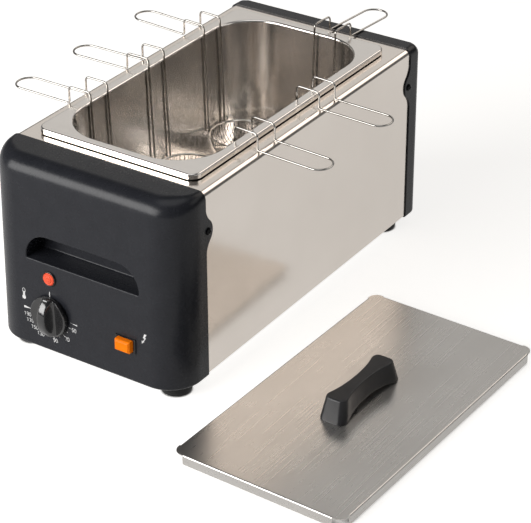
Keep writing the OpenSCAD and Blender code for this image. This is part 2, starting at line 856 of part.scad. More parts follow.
module cord_gland() {
    color(black) at_gland() difference() {
        union() {
            cylinder(d1 = gland_flange, d2 = gland_flange - 4, h = 5);
            translate([0, 0, -12]) cylinder(d = gland_d, h = 12);
        }
        translate([0, 0, -13]) cylinder(d = gland_bore, h = 20);
    }
}

module gland_nut() {
    color(black) at_gland() translate([0, 0, -cap_wall - 5]) difference() {
        cylinder(d = 17 / cos(30), h = 4.8, $fn = 6);
        translate([0, 0, -1]) cylinder(d = gland_d + fit, h = 8);
    }
}

earth_x = -body_w / 2 + 46;
earth_y = body_l / 2 - 34.5;
lead_mid = body_l / 2 - 74.5;
lead_d = 2.2;
block_y = steel_end + block_l / 2;
out_y = steel_end + 5;

// Rear part of a lead: down from the block and forward through the grommet, off its middle by dx, dz
function rear_lead(from_x, dx, dz) = [
    [block_x + from_x, block_y, block_z - block_h / 2 - fit],
    [block_x + from_x, block_y, duct_z + dz],
    [dx - duct_x, out_y, duct_z + dz],
    [dx - duct_x, steel_end - 8, duct_z + dz]
];
// Front part of a lead: out through the front grommet to a stop at y = -stop_y
function front_lead(dx, dz, stop_y) = [
    [duct_x + dx, -steel_end + 8, duct_z + dz],
    [duct_x + dx, -stop_y, duct_z + dz]
];

switch_tab_x = switch_right - 6;
switch_tab_y = steel_end + 9;
stat_tab_x = knob_x + 14;
stat_tab_y = steel_end + 8;
live_route = concat(
    rear_lead(10, 2.2, -1), [[0, lead_mid, 24], [0, -lead_mid, 24]], front_lead(2.2, -1, switch_tab_y),
    [[switch_tab_x, -switch_tab_y, duct_z - 1], [switch_tab_x, -switch_tab_y, switch_z - 2.5 - (switch_back + 7) * tan(face_draft) - fit]]
);
neutral_route = concat(
    rear_lead(0, 0, 1.8), [[-16, lead_mid, 22], [-20, -lead_mid, 22]], front_lead(-2.2, -1, stat_tab_y),
    [[stat_tab_x + 3 + fit, -stat_tab_y, duct_z - 1]]
);
earth_route = concat(
    rear_lead(-10, -2.2, -1), [[earth_x + 15, earth_y + 12, 21], [earth_x + 2.35, earth_y + 2.35, 21]]
);

module lead(points, radii) {
    tube(route(points, radii, 3), lead_d, 8, [1, 0, 0]);
}

module wire_live() {
    color("saddlebrown") lead(live_route, [3, 3, 6, 20, 20, 6, 4, 4]);
}

module wire_neutral() {
    color("royalblue") lead(neutral_route, [3, 3, 6, 20, 20, 6, 4]);
}

module wire_earth() {
    color("yellowgreen") lead(earth_route, [3, 3, 6, 6]);
}

module duct_grommets() {
    color(black) for (s = [-1, 1])
        translate([-s * duct_x, s * (steel_end - bulk_t / 2), duct_z]) rotate([90, 0, 0]) difference() {
            union() {
                cylinder(d = duct_d - 0.2, h = 5, center = true);
                for (z = [-1, 1]) translate([0, 0, z * (bulk_t / 2 + 0.8)]) cylinder(d = duct_d + 3, h = 1.4, center = true);
            }
            cylinder(d = duct_d - 3, h = 12, center = true);
        }
}

module earth_stud() {
    color("gold") translate([earth_x, earth_y, foot_h - 2]) {
        cylinder(d = 7, h = 2);
        cylinder(d = screw_d, h = 10);
        translate([0, 0, 2 + base_t]) cylinder(d = nut_w / cos(30), h = nut_h, $fn = 6);
    }
}

// Feet and fasteners ----------------------------------------------------

module feet() {
    color("black") foot_places() difference() {
        union() {
            cylinder(d1 = foot_d - 2, d2 = foot_d, h = 3);
            translate([0, 0, 3]) cylinder(d = foot_d, h = cap_bottom - 3);
        }
        translate([0, 0, -1]) cylinder(d = foot_bore, h = foot_h + 2);
        translate([0, 0, -1]) cylinder(d = head_d + 2, h = 5);
    }
}

module foot_screws() {
    color("gray") foot_places() {
        translate([0, 0, 4 - head_h]) cylinder(d = head_d + 0.5, h = head_h);
        translate([0, 0, 4]) cylinder(d = screw_d - 0.8, h = cap_bottom + foot_sink - 4);
    }
}

// Nuts of the rear foot screws, on the base plate
module foot_nuts() {
    color("gray") for (x = [-1, 1]) translate([x * foot_x, rear_foot_y, foot_h + base_t]) difference() {
        cylinder(d = nut_w / cos(30), h = nut_h, $fn = 6);
        translate([0, 0, -1]) cylinder(d = screw_d - 0.8 + fit, h = nut_h + 2);
    }
}

// Pan-head screw with a cross recess, drawn with its head at z = 0 and its shank along -Z
module cross_screw(shank_d, shank_l) {
    difference() {
        union() {
            intersection() {
                cylinder(d = head_d, h = head_h);
                translate([0, 0, head_h - 6]) sphere(6, $fn = 64);
            }
            translate([0, 0, -shank_l]) cylinder(d = shank_d, h = shank_l);
        }
        for (a = [0, 90]) rotate([0, 0, a]) translate([0, 0, head_h]) cube([0.9, 4, 2], center = true);
    }
}

module side_screws() {
    color("dimgray") for (x = [-1, 1], y = [-1, 1])
        translate([x * cap_half_w, y * screw_y(), tab_z]) rotate([0, x * 90, 0]) cross_screw(side_screw_d - 0.6, 10);
}

module base_screws() {
    color("dimgray") for (x = [-1, 1], y = [-1, 0, 1])
        translate([x * base_screw_x, y * base_screw_y, foot_h]) rotate([180, 0, 0]) cross_screw(2.9, 6);
}

// Lid -------------------------------------------------------------------

module place_lid() {
    translate([lid_away, -lid_forward, 0]) rotate([0, 0, lid_turn]) children();
}

module lid_panel() {
    color(steel) place_lid() difference() {
        union() {
            translate([0, 0, lid_h - sheet_t]) slab(lid_w, lid_l, sheet_t, lid_r);
            for (s = [-1, 1]) {
                translate([s * (lid_w - sheet_t) / 2, 0, lid_h / 2])
                    cube([sheet_t, lid_l - 2 * lid_notch, lid_h], center = true);
                translate([0, s * (lid_l - sheet_t) / 2, lid_h / 2])
                    cube([lid_w - 2 * lid_notch, sheet_t, lid_h], center = true);
            }
        }
        for (s = [-1, 1]) translate([0, s * grip_screw_y, 0]) cylinder(d = screw_d + 0.3, h = lid_h + 1);
    }
}

// Waisted handle: flared ends, hollowed long sides and a shallow arch underneath
module lid_handle() {
    flare = 3.2;
    corner = 9;
    half_l = grip_foot_l / 2;
    reach = half_l - 9;
    waist_r = (reach * reach + waist * waist) / (2 * waist);
    waist_x = grip_foot_w / 2 - flare - waist + waist_r;
    lean = atan(2.5 / lid_grip_h);
    arch_r = (reach * reach + arch_h * arch_h) / (2 * arch_h);
    color(black) place_lid() translate([0, 0, lid_h]) difference() {
        hull() {
            slab(grip_foot_w, grip_foot_l, 1, corner);
            translate([0, 0, lid_grip_h - 2])
                slab(grip_foot_w - 2 * flare, grip_foot_l - 4 * flare, 1, corner - 2);
            translate([0, 0, lid_grip_h - 1])
                slab(grip_foot_w - 2 * flare - 1.6, grip_foot_l - 4 * flare - 1.6, 1, corner - 2.8);
        }
        for (s = [-1, 1])
            translate([s * waist_x, 0, lid_grip_h]) rotate([0, -s * lean, 0])
                translate([0, 0, -2 * lid_grip_h]) cylinder(r = waist_r, h = 3 * lid_grip_h, $fn = 200);
        translate([-grip_foot_w, 0, arch_h - arch_r]) rotate([0, 90, 0])
            cylinder(r = arch_r, h = 2 * grip_foot_w, $fn = 200);
        for (s = [-1, 1]) translate([0, s * grip_screw_y, -1]) cylinder(d = screw_d - 0.6, h = 13);
    }
}

module lid_screws() {
    color("gray") place_lid() for (s = [-1, 1])
        translate([0, s * grip_screw_y, lid_h - sheet_t]) rotate([180, 0, 0]) cross_screw(screw_d - 0.8, 10);
}

// Baskets ---------------------------------------------------------------

// Stands a basket on its wall: the pan's side is at -X, the handle runs out along +X
module on_wall(side, spot, leg) {
    mid = leg + hook_span / 2 - swing(spot);
    across = side == "rear" ? [spot[0], mid] : [(side == "left" ? -1 : 1) * mid, spot[0]];
    facing = side == "rear" ? 90 : side == "left" ? 180 : 0;
    translate([across[0], across[1], 0]) rotate([0, 0, facing + spot[1]]) children();
}

// How far a turned basket is moved inwards, so that its nearer leg stays clear of the pan's wall
function swing(spot) = abs(sin(spot[1])) * wire_gap / 2;

// Height of a side basket's handle where its outer leg meets the body's folded edge
function fold_rest(spot) =
    let (
        away = max(0, side_leg + hook_span - 2 * swing(spot) + foot_bend - (body_w / 2 - fold_r)),
        apart = foot_bend + wire_d / 2 + fold_r + rest_gap
    )
    max(body_top - fold_r + sqrt(apart * apart - away * away) - foot_bend, body_top - wire_d / 2);

leg_lean = 4.6;
function leg_foot() = -hook_span / 2 - leg_lean;
// Distance from the hook's middle to the ring's middle, so that the legs touch the ring from outside
function ring_back() =
    leg_foot() - sqrt(pow(ring_d / 2 + wire_d / 2 + ring_wire / 2 + touch, 2) - pow(wire_gap / 2, 2));

module basket_frame(z) {
    half = wire_gap / 2;
    top = body_top + hook_h;
    out = hook_span / 2;
    end = out + handle_l;
    inner = [leg_foot(), half, ring_z - ring_wire];
    side = [inner, [-out, half, top], [out, half, top], [out, half, z], [end, half, z]];
    mirrored = [for (i = [len(side) - 1:-1:0]) [side[i][0], -half, side[i][2]]];
    turn = half - touch;
    color("gainsboro")
        tube(route(concat(side, mirrored), basket_bends(turn), 4), wire_d, 8, [0, 1, 0]);
}

function basket_bends(turn) = [bend_r, bend_r, foot_bend, turn, turn, foot_bend, bend_r, bend_r];

module basket_bowl() {
    r = ring_d / 2;
    color("lightgray") translate([ring_back(), 0, ring_z]) rotate_extrude() {
        translate([r, 0]) circle(d = ring_wire, $fn = 32);
        intersection() {
            difference() {
                circle(r, $fn = 128);
                circle(r - mesh_t, $fn = 128);
            }
            translate([0, -r]) square([r, r]);
        }
    }
}

module basket(name, side, spot, leg, z) {
    on_wall(side, spot, leg) basket_frame(z);
    on_wall(side, spot, leg) basket_bowl();
}

module turned() {
    rotate([0, 0, 180]) children();
}

body_wrap();
base_plate();
bulkhead(true);  // front_bulkhead
turned() bulkhead(false);  // rear_bulkhead
end_cap(true);  // front_cap
turned() end_cap(false);  // rear_cap
pan();
pan_gasket();
pan_clips();
heat_shield();
insulation();
heat_spreader();
heating_element();
element_studs();
clamp_bars();
clamp_nuts();
thermostat();
thermostat_shaft();
sensor_bulb();
capillary();
safety_cutout();
knob();
lamp_bezel();
lamp_lens();
switch_housing();
switch_key();
terminal_block();
terminal_screws();
cord_gland();
gland_nut();
wire_live();
wire_neutral();
wire_earth();
duct_grommets();
earth_stud();
feet();
foot_screws();
foot_nuts();
side_screws();
base_screws();
lid_panel();
lid_handle();
lid_screws();
for (i = [0:2]) 
    basket(basket_names[i], "left", left_baskets[i], side_leg, fold_rest(left_baskets[i]));
for (i = [0:1]) 
    basket(basket_names[3 + i], "right", right_baskets[i], side_leg, fold_rest(right_baskets[i]));
basket("rear", "rear", rear_basket, rear_leg, cap_top + wire_d / 2 + rest_gap);
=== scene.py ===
"""Dresses the deep fryer's frame: sheet metal, moulded caps, wire baskets, controls and their finishes."""
import bpy
import bmesh
import json
import math
from mathutils import Matrix, Vector


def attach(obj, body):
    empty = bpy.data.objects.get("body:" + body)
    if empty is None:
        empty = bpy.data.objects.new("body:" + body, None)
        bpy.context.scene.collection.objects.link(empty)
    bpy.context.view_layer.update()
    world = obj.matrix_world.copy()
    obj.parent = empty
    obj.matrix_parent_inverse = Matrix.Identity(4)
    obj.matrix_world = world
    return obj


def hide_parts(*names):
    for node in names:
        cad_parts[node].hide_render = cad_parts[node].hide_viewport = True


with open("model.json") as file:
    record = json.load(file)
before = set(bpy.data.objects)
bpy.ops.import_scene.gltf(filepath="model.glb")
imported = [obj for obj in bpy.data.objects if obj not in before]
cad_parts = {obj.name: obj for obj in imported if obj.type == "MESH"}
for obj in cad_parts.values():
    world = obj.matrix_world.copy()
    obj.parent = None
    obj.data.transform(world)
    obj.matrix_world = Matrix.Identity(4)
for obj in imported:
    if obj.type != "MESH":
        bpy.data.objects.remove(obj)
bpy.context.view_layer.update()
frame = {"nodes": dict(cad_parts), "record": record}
# Shapes are drawn in mm, Z up, with the fryer's front towards -Y
MM = 0.001
PI = math.pi

# ---------------------------------------------------------------- camera

# Solved from the photograph: the eye's place in metres, its axes, and the lens for a sensor 36 mm wide
CAMERA_AT = Vector((1.02832, -1.47198, 1.05637))
RIGHT = Vector((0.83730, 0.54674, 0.00016))
DOWN = Vector((0.27475, -0.42051, -0.86469))
FORWARD = Vector((-0.47270, 0.72405, -0.50231))
SENSOR, LENS = 36.0, 142.365
SHIFT_X, SHIFT_Y = -0.0261, -0.0016


def place_camera():
    camera = bpy.data.objects.new("camera", bpy.data.cameras.new("camera"))
    bpy.context.scene.collection.objects.link(camera)
    turn = Matrix((RIGHT, -DOWN, -FORWARD)).transposed()
    camera.matrix_world = Matrix.Translation(CAMERA_AT) @ turn.to_4x4()
    camera.data.sensor_fit = "HORIZONTAL"
    camera.data.sensor_width = SENSOR
    camera.data.lens = LENS
    camera.data.shift_x = SHIFT_X
    camera.data.shift_y = SHIFT_Y
    camera.data.clip_start = 0.05
    camera.data.clip_end = 50
    bpy.context.scene.camera = camera


place_camera()
bpy.context.scene.view_settings.view_transform = "Standard"
bpy.context.scene.view_settings.look = "None"

# ------------------------------------------------------------- materials

NOISE_LOW, NOISE_HIGH = 0.25, 0.75  # most noise values lie between these two
BLEND_FROM, BLEND_TO = 0.3, 0.7
# Noise of the steel: (cycles per metre, detail), and for the grain how far it is drawn out along the brushing
FINE_GRAIN, COARSE_GRAIN = (1800, 4, 120.0), (420, 3, 60.0)
TINT_DRIFT, CLOUDS, WAVES = (14, 3), (30, 4), (9, 2)
COAT_ROUGH = 0.08
LENS_RINGS = 800  # scale of the rings moulded in the lamp's lens


def new_material(name):
    mat = bpy.data.materials.new(name)
    mat.use_nodes = True
    return mat, mat.node_tree, mat.node_tree.nodes["Principled BSDF"]


def connect(tree, node, inputs):
    """Fills a node's inputs, by name or number, with plain values or with other nodes' outputs."""
    for key, value in inputs.items():
        if isinstance(value, bpy.types.NodeSocket):
            tree.links.new(value, node.inputs[key])
        else:
            node.inputs[key].default_value = value


def add_node(tree, kind, inputs=None, **fields):
    node = tree.nodes.new(kind)
    for key, value in fields.items():
        setattr(node, key, value)
    connect(tree, node, inputs or {})
    return node


def noise(tree, scale, detail=3.0, stretch=(1, 1, 1), distortion=0.0):
    """Noise in object space, in cycles per metre; stretch divides the frequency along each axis."""
    place = add_node(tree, "ShaderNodeTexCoord").outputs["Object"]
    mapping = add_node(tree, "ShaderNodeMapping", {"Vector": place, "Scale": [scale / s for s in stretch]})
    inputs = {"Vector": mapping.outputs["Vector"], "Scale": 1.0, "Detail": detail, "Distortion": distortion}
    return add_node(tree, "ShaderNodeTexNoise", inputs).outputs["Fac"]


def map_range(tree, value, start, end, low, high, kind="LINEAR"):
    """Maps start and end to low and high, and holds the result between them."""
    inputs = {"Value": value, "From Min": start, "From Max": end, "To Min": low, "To Max": high}
    return add_node(tree, "ShaderNodeMapRange", inputs, interpolation_type=kind).outputs["Result"]


def spread(tree, value, low, high):
    """Maps a noise value to a number between low and high."""
    return map_range(tree, value, NOISE_LOW, NOISE_HIGH, low, high)


def blend_colours(tree, value, a, b):
    ramp = add_node(tree, "ShaderNodeValToRGB", {"Fac": value})
    for stop, position, colour in zip(ramp.color_ramp.elements, (BLEND_FROM, BLEND_TO), (a, b)):
        stop.position = position
        stop.color = (*colour, 1)
    return ramp.outputs["Color"]


def bumps(tree, *layers):
    """Stacks bump layers, each (height value, strength, distance in metres)."""
    normal = {}
    for value, strength, distance in layers:
        inputs = {"Height": value, "Strength": strength, "Distance": distance, **normal}
        normal = {"Normal": add_node(tree, "ShaderNodeBump", inputs).outputs["Normal"]}
    return normal


def steel(name, a, b, rough, grain_axis, grain, cloud, wave, metal=1.0):
    """Stainless steel: a tint that drifts, brushed grain along one axis, cloudy roughness and slow waves."""
    mat, tree, shader = new_material(name)

    def brushed(scale, detail, drawn_out):
        stretch = [1.0, 1.0, 1.0]
        stretch[grain_axis] = drawn_out
        return noise(tree, scale, detail, stretch)
    fine, coarse = brushed(*FINE_GRAIN), brushed(*COARSE_GRAIN)
    waves = noise(tree, *WAVES, distortion=0.4)
    clouds = spread(tree, noise(tree, *CLOUDS, distortion=0.6), 0.0, cloud)
    uneven = add_node(tree, "ShaderNodeMath", {0: spread(tree, coarse, *rough), 1: clouds}, operation="ADD")
    connect(tree, shader, {
        "Base Color": blend_colours(tree, noise(tree, *TINT_DRIFT), a, b), "Metallic": metal,
        "Roughness": uneven.outputs[0],
        **bumps(tree, (waves, wave, 0.004), (fine, 0.12 * grain, 0.00003), (coarse, 0.08 * grain, 0.00004)),
    })
    return mat


def toned(name, a, b, rough, tone, blotch, grain, strength, distance, inputs):
    """Two close tones, uneven roughness and a fine grain. tone, blotch and grain give their noise as
    (cycles per metre, detail)."""
    mat, tree, shader = new_material(name)
    connect(tree, shader, {
        "Base Color": blend_colours(tree, noise(tree, *tone), a, b),
        "Roughness": spread(tree, noise(tree, *blotch), *rough), **inputs,
        **bumps(tree, (noise(tree, *grain), strength, distance)),
    })
    return mat


def plastic(name, a, b, rough, grain_scale, grain, specular=0.5, coat=0.0):
    return toned(name, a, b, rough, (60, 4), (140, 3), (grain_scale, 2), grain, 0.00008,
                 {"Specular IOR Level": specular, "Coat Weight": coat, "Coat Roughness": COAT_ROUGH})


def wire_steel(name, a, b, rough):
    return toned(name, a, b, rough, (90, 3), (260, 4), (700, 3), 0.15, 0.00005, {"Metallic": 1.0})


def plain_metal(name, a, b, rough, scale=200):
    return toned(name, a, b, rough, (scale, 4), (scale * 2, 3), (scale * 8, 2), 0.2, 0.00005,
                 {"Metallic": 1.0})


LOOKS = {
    "body": steel("brushed_body", (0.88, 0.815, 0.75), (0.92, 0.855, 0.79), (0.12, 0.17),
                  1, 1.1, 0.03, 0.015),
    "pan": steel("drawn_pan", (0.86, 0.82, 0.78), (0.91, 0.87, 0.83), (0.15, 0.20), 0, 0.10, 0.04, 0.14),
    # painted shade: the lid is the body's stainless steel, toned darker and a little less metallic so that it
    # looks dimmer than the body
    "lid": steel("brushed_lid", (0.65, 0.63, 0.605), (0.695, 0.675, 0.65), (0.24, 0.30),
                 1, 0.14, 0.03, 0.015, 0.92),
    "wire": wire_steel("bright_wire", (0.44, 0.42, 0.395), (0.54, 0.52, 0.49), (0.07, 0.12)),
    "rim": wire_steel("rim_wire", (0.62, 0.60, 0.56), (0.72, 0.70, 0.66), (0.12, 0.20)),
    "mesh": wire_steel("woven_wire", (0.28, 0.27, 0.25), (0.40, 0.385, 0.36), (0.18, 0.30)),
    "cap": plastic("cap_plastic", (0.018, 0.0192, 0.0240), (0.022, 0.0232, 0.0285), (0.24, 0.30),
                   1600, 0.04, 0.28),
    "knob": plastic("knob_plastic", (0.013, 0.013, 0.014), (0.021, 0.021, 0.022), (0.12, 0.17),
                    900, 0.05, 0.8, 0.6),
    "trim": plastic("trim_plastic", (0.010, 0.010, 0.010), (0.016, 0.016, 0.016), (0.18, 0.28),
                    900, 0.05, 0.5),
    "handle": plastic("handle_plastic", (0.014, 0.014, 0.016), (0.020, 0.020, 0.022), (0.34, 0.44),
                      2200, 0.14, 0.5),
    "rubber": plastic("foot_rubber", (0.014, 0.014, 0.014), (0.022, 0.022, 0.022), (0.55, 0.70),
                      1500, 0.3, 0.3),
    "key": plastic("key_orange", (1.0, 0.20, 0.001), (1.0, 0.24, 0.002), (0.26, 0.34), 900, 0.04, 0.12),
    "print": plastic("white_print", (0.70, 0.70, 0.70), (0.86, 0.86, 0.86), (0.40, 0.55), 1800, 0.05, 0.4),
    "screw": plain_metal("black_screw", (0.010, 0.010, 0.011), (0.03, 0.03, 0.032), (0.25, 0.40), 500),
    "zinc": plain_metal("zinc_steel", (0.44, 0.44, 0.44), (0.58, 0.58, 0.57), (0.30, 0.45)),
    "dark": plain_metal("element_steel", (0.10, 0.095, 0.09), (0.17, 0.16, 0.15), (0.40, 0.55)),
    "alu": plain_metal("cast_aluminium", (0.66, 0.67, 0.68), (0.74, 0.75, 0.76), (0.38, 0.50)),
    "copper": plain_metal("drawn_copper", (0.62, 0.32, 0.20), (0.74, 0.42, 0.28), (0.25, 0.38)),
    "brass": plain_metal("turned_brass", (0.62, 0.47, 0.20), (0.76, 0.60, 0.30), (0.24, 0.36)),
    "blanket": plastic("mineral_blanket", (0.50, 0.45, 0.33), (0.66, 0.61, 0.48), (0.85, 0.95),
                       700, 1.0, 0.1),
    "ceramic": plastic("pale_housing", (0.60, 0.58, 0.50), (0.68, 0.66, 0.58), (0.45, 0.60), 900, 0.2, 0.4),
    "brown": plastic("lead_brown", (0.16, 0.07, 0.03), (0.20, 0.09, 0.04), (0.40, 0.50), 900, 0.1, 0.4),
    "blue": plastic("lead_blue", (0.03, 0.10, 0.36), (0.04, 0.13, 0.42), (0.40, 0.50), 900, 0.1, 0.4),
    "green": plastic("lead_green", (0.25, 0.42, 0.04), (0.32, 0.50, 0.06), (0.40, 0.50), 900, 0.1, 0.4),
}

KNOB_X, KNOB_Z, LAMP_Z = -37.0, 52.0, 90.0


def lamp_material():
    """Orange lens over moulded rings round the lamp's middle."""
    mat, tree, shader = new_material("lamp_lens")
    inputs = {
        "Vector": add_node(tree, "ShaderNodeTexCoord").outputs["Object"],
        "Location": (-KNOB_X * MM * LENS_RINGS, 0, -LAMP_Z * MM * LENS_RINGS),
        "Scale": (LENS_RINGS, 0, LENS_RINGS),
    }
    mapping = add_node(tree, "ShaderNodeMapping", inputs)
    inputs = {"Vector": mapping.outputs["Vector"], "Scale": 0.22}
    rings = add_node(tree, "ShaderNodeTexWave", inputs, wave_type="RINGS", rings_direction="SPHERICAL")
    connect(tree, shader, {
        "Base Color": blend_colours(tree, rings.outputs["Fac"], (0.80, 0.055, 0.015), (1.0, 0.13, 0.045)),
        "Roughness": spread(tree, noise(tree, 300, 2), 0.10, 0.16),
        **bumps(tree, (rings.outputs["Fac"], 0.5, 0.0003)),
    })
    return mat


def add_glow(look, colour, strength):
    """Painted glow: emission added to a coloured plastic to brighten it. On the switch key it stands in for
    light falling on the key, which is no lamp; on the lamp's lens it is the lamp's own light.
    """
    tree = LOOKS[look].node_tree
    inputs = {"Emission Color": (*colour, 1), "Emission Strength": strength}
    connect(tree, tree.nodes["Principled BSDF"], inputs)


LOOKS["lamp"] = lamp_material()
# painted glow on the switch key, which is no lamp: its emission stands in for light falling on the orange
# plastic
add_glow("key", (1.0, 0.19, 0.0), 0.14)
add_glow("lamp", (0.9, 0.06, 0.02), 0.02)

SLOT_LOOKS = {
    "stainless": "body", "pan_steel": "pan", "zinc_steel": "zinc", "element_steel": "dark",
    "cap_plastic": "cap", "knob_plastic": "knob", "trim_plastic": "trim", "handle_plastic": "handle",
    "lamp_orange": "lamp", "key_orange": "key", "seal": "rubber", "foot_rubber": "rubber",
    "black_screw": "screw", "wire": "wire", "mesh": "mesh", "aluminium": "alu", "blanket": "blanket",
    "ceramic": "ceramic", "copper": "copper", "brass": "brass", "lead_brown": "brown", "lead_blue": "blue",
    "lead_green": "green",
}
CAD_CREASE = 32


def shade_smooth(mesh):
    for polygon in mesh.polygons:
        polygon.use_smooth = True


for part in frame["record"]["subparts"]:
    node = frame["nodes"][part["node"]]
    node.data.materials.clear()
    node.data.materials.append(LOOKS[SLOT_LOOKS[part["material_slot"]]])
    shade_smooth(node.data)
    edges = node.modifiers.new("edges", "EDGE_SPLIT")
    edges.split_angle = math.radians(CAD_CREASE)

# --------------------------------------------------------------- meshes


def apply_modifiers(obj):
    graph = bpy.context.evaluated_depsgraph_get()
    mesh = bpy.data.meshes.new_from_object(obj.evaluated_get(graph))
    obj.modifiers.clear()
    old = obj.data
    obj.data = mesh
    bpy.data.meshes.remove(old)


SLIVER = 0.0005  # edges shorter than this, in mm, are dissolved


def piece(name, verts, faces, look, body, replaces=(), slot=None, solid=0, crease=60, weld=0.002):
    """A mesh piece from points in mm. solid thickens it inwards, edges sharper than crease stay sharp, and
    points nearer than weld are joined."""
    mesh = bpy.data.meshes.new(name)
    bm = bmesh.new()
    made = [bm.verts.new(Vector(v) * MM) for v in verts]
    for f in faces:
        loop = [made[i] for i in dict.fromkeys(f)]
        if len(loop) > 2 and not bm.faces.get(loop):
            bm.faces.new(loop)
    bmesh.ops.remove_doubles(bm, verts=bm.verts, dist=weld * MM)
    bmesh.ops.dissolve_degenerate(bm, edges=bm.edges, dist=SLIVER * MM)
    bmesh.ops.recalc_face_normals(bm, faces=bm.faces)
    bm.to_mesh(mesh)
    bm.free()
    obj = bpy.data.objects.new(name, mesh)
    bpy.context.scene.collection.objects.link(obj)
    if solid:
        thick = obj.modifiers.new("solid", "SOLIDIFY")
        thick.thickness = solid * MM
        thick.offset = -1
        thick.use_even_offset = True
        bpy.context.view_layer.update()
        apply_modifiers(obj)
    shade_smooth(obj.data)
    obj.data.set_sharp_from_angle(angle=math.radians(crease))
    weigh = obj.modifiers.new("weigh", "WEIGHTED_NORMAL")
    weigh.keep_sharp = True
    obj.data.materials.append(LOOKS[look])
    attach(obj, body)
    if replaces:
        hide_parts(*replaces)


def grid_faces(rows, columns, wrap=False):
    """Quads between rows of points; wrap closes each row on itself."""
    faces = []
    for i in range(rows - 1):
        for j in range(columns if wrap else columns - 1):
            k = (j + 1) % columns
            a = i * columns
            b = a + columns
            faces.append((a + j, a + k, b + k, b + j))
    return faces


def loft(rings, close_first=True):
    """Closed rings with the same number of points, joined in order, with a face over the last one."""
    n = len(rings[0])
    verts = [p for ring in rings for p in ring]
    faces = grid_faces(len(rings), n, True)
    if close_first:
        faces.append(tuple(range(n)))
    faces.append(tuple(range(len(verts) - n, len(verts))))
    return verts, faces


def join(*parts):
    verts, faces = [], []
    for v, f in parts:
        start = len(verts)
        verts += v
        faces += [tuple(i + start for i in face) for face in f]
    return verts, faces


def moved(part, how):
    return [how(Vector(p)) for p in part[0]], part[1]


def angles(sweep, steps, first=0):
    """Angles from 0 to sweep in equal steps, from step number first on."""
    return [sweep * i / steps for i in range(first, steps + 1)]


def disc(radius, sides=48):
    """Points (x, y) of a circle round the origin."""
    return [(radius * math.cos(a), radius * math.sin(a)) for a in angles(2 * PI, sides)[:-1]]


def lathe(profile, sides=48):
    """Turns (radius, height) points round Z."""
    verts = [(x, y, h) for r, h in profile for x, y in disc(r, sides)]
    return verts, grid_faces(len(profile), sides, True)


def arc(x, y, radius, first, last, steps):
    """Points (x, y) of an arc; first and last are its end angles in degrees."""
    turned = [math.radians(first + (last - first) * i / steps) for i in range(steps + 1)]
    return [(x + radius * math.cos(a), y + radius * math.sin(a)) for a in turned]


# Corners of a rectangle, anticlockwise: (side in X, side in Y, first angle of the rounding)
CORNERS = ((1, 1, 0), (-1, 1, 90), (-1, -1, 180), (1, -1, 270))


def rounded_ring(half_w, half_l, radius, steps=10, straight=1):
    """Points of a rounded rectangle, anticlockwise; straight is the number of parts of each side."""
    points = []
    radius = max(radius, 0.01)
    for sx, sy, first in CORNERS:
        points += arc(sx * (half_w - radius), sy * (half_l - radius), radius, first, first + 90, steps)
    out = []
    for i, p in enumerate(points):
        out.append(p)
        if i % (steps + 1) == steps:
            q = points[(i + 1) % len(points)]
            out += [(p[0] + (q[0] - p[0]) * t / straight, p[1] + (q[1] - p[1]) * t / straight)
                    for t in range(1, straight)]
    return out


def tube(points, radius, sides, closed=False):
    """A round tube along points in mm, with its frame carried without twisting."""
    pts = [Vector(p) for p in points]
    n = len(pts)

    def heading(i):
        if closed:
            return (pts[(i + 1) % n] - pts[i - 1]).normalized()
        if i == 0:
            return (pts[1] - pts[0]).normalized()
        if i == n - 1:
            return (pts[-1] - pts[-2]).normalized()
        return ((pts[i + 1] - pts[i]).normalized() + (pts[i] - pts[i - 1]).normalized()).normalized()

    side = heading(0).orthogonal().normalized()
    rings = []
    for i in range(n):
        t = heading(i)
        side = (side - side.dot(t) * t).normalized()
        up = t.cross(side)
        rings.append([pts[i] + radius * (x * side + y * up) for x, y in disc(1.0, sides)])
    if not closed:
        return loft(rings)
    # the first ring may be turned against the last one: find the point that meets it
    best = min(range(sides), key=lambda s: (rings[-1][s] - rings[0][0]).length)
    verts = [p for ring in rings for p in ring]
    faces = grid_faces(n, sides, True)
    a = (n - 1) * sides
    for j in range(sides):
        k = (j + 1) % sides
        faces.append((a + (j + best) % sides, a + (k + best) % sides, k, j))
    return verts, faces


def bend(a, b, c, radius, n):
    """Points of one rounded bend at b."""
    u, w = (a - b).normalized(), (c - b).normalized()
    half = math.acos(max(-1, min(1, u.dot(w)))) / 2
    middle = b + (u + w).normalized() * radius / math.sin(half)
    e0 = b + u * radius / math.tan(half) - middle
    e1 = b + w * radius / math.tan(half) - middle
    sweep = PI - 2 * half
    return [middle + (math.sin((1 - i / n) * sweep) * e0 + math.sin(i / n * sweep) * e1) / math.sin(sweep)
            for i in range(n + 1)]


def route(corners, radii, n):
    c = [Vector(p) for p in corners]
    out = [c[0]]
    for i in range(1, len(c) - 1):
        out += bend(c[i - 1], c[i], c[i + 1], radii[i - 1], n)
    return out + [c[-1]]


def fill_between(loops):
    """Triangles that fill flat loops of points; the loops after the first are holes."""
    bm = bmesh.new()
    edges = []
    for loop in loops:
        made = [bm.verts.new(p) for p in loop]
        edges += [bm.edges.new((made[i], made[(i + 1) % len(made)])) for i in range(len(made))]
    bmesh.ops.triangle_fill(bm, use_beauty=True, use_dissolve=False, edges=edges)
    bm.verts.index_update()
    verts = [tuple(v.co) for v in bm.verts]
    faces = [tuple(v.index for v in f.verts) for f in bm.faces]
    bm.free()
    return verts, faces


# ------------------------------------------------------------ steel body

SHEET = 0.8
BODY_W, BODY_END, TOP, FOLD_R = 211.0, 184.25, 200.0, 6.5
HEM_W, HEM_Z = 14, 15.0
SEAM, PAN_Y = 176.25, -3.0
OPEN_W, OPEN_L, PAN_R = 155.2, 304.2, 48.0
HOLE_GAP = 2.8  # the steel's hole is this much wider than the pan's opening, all round


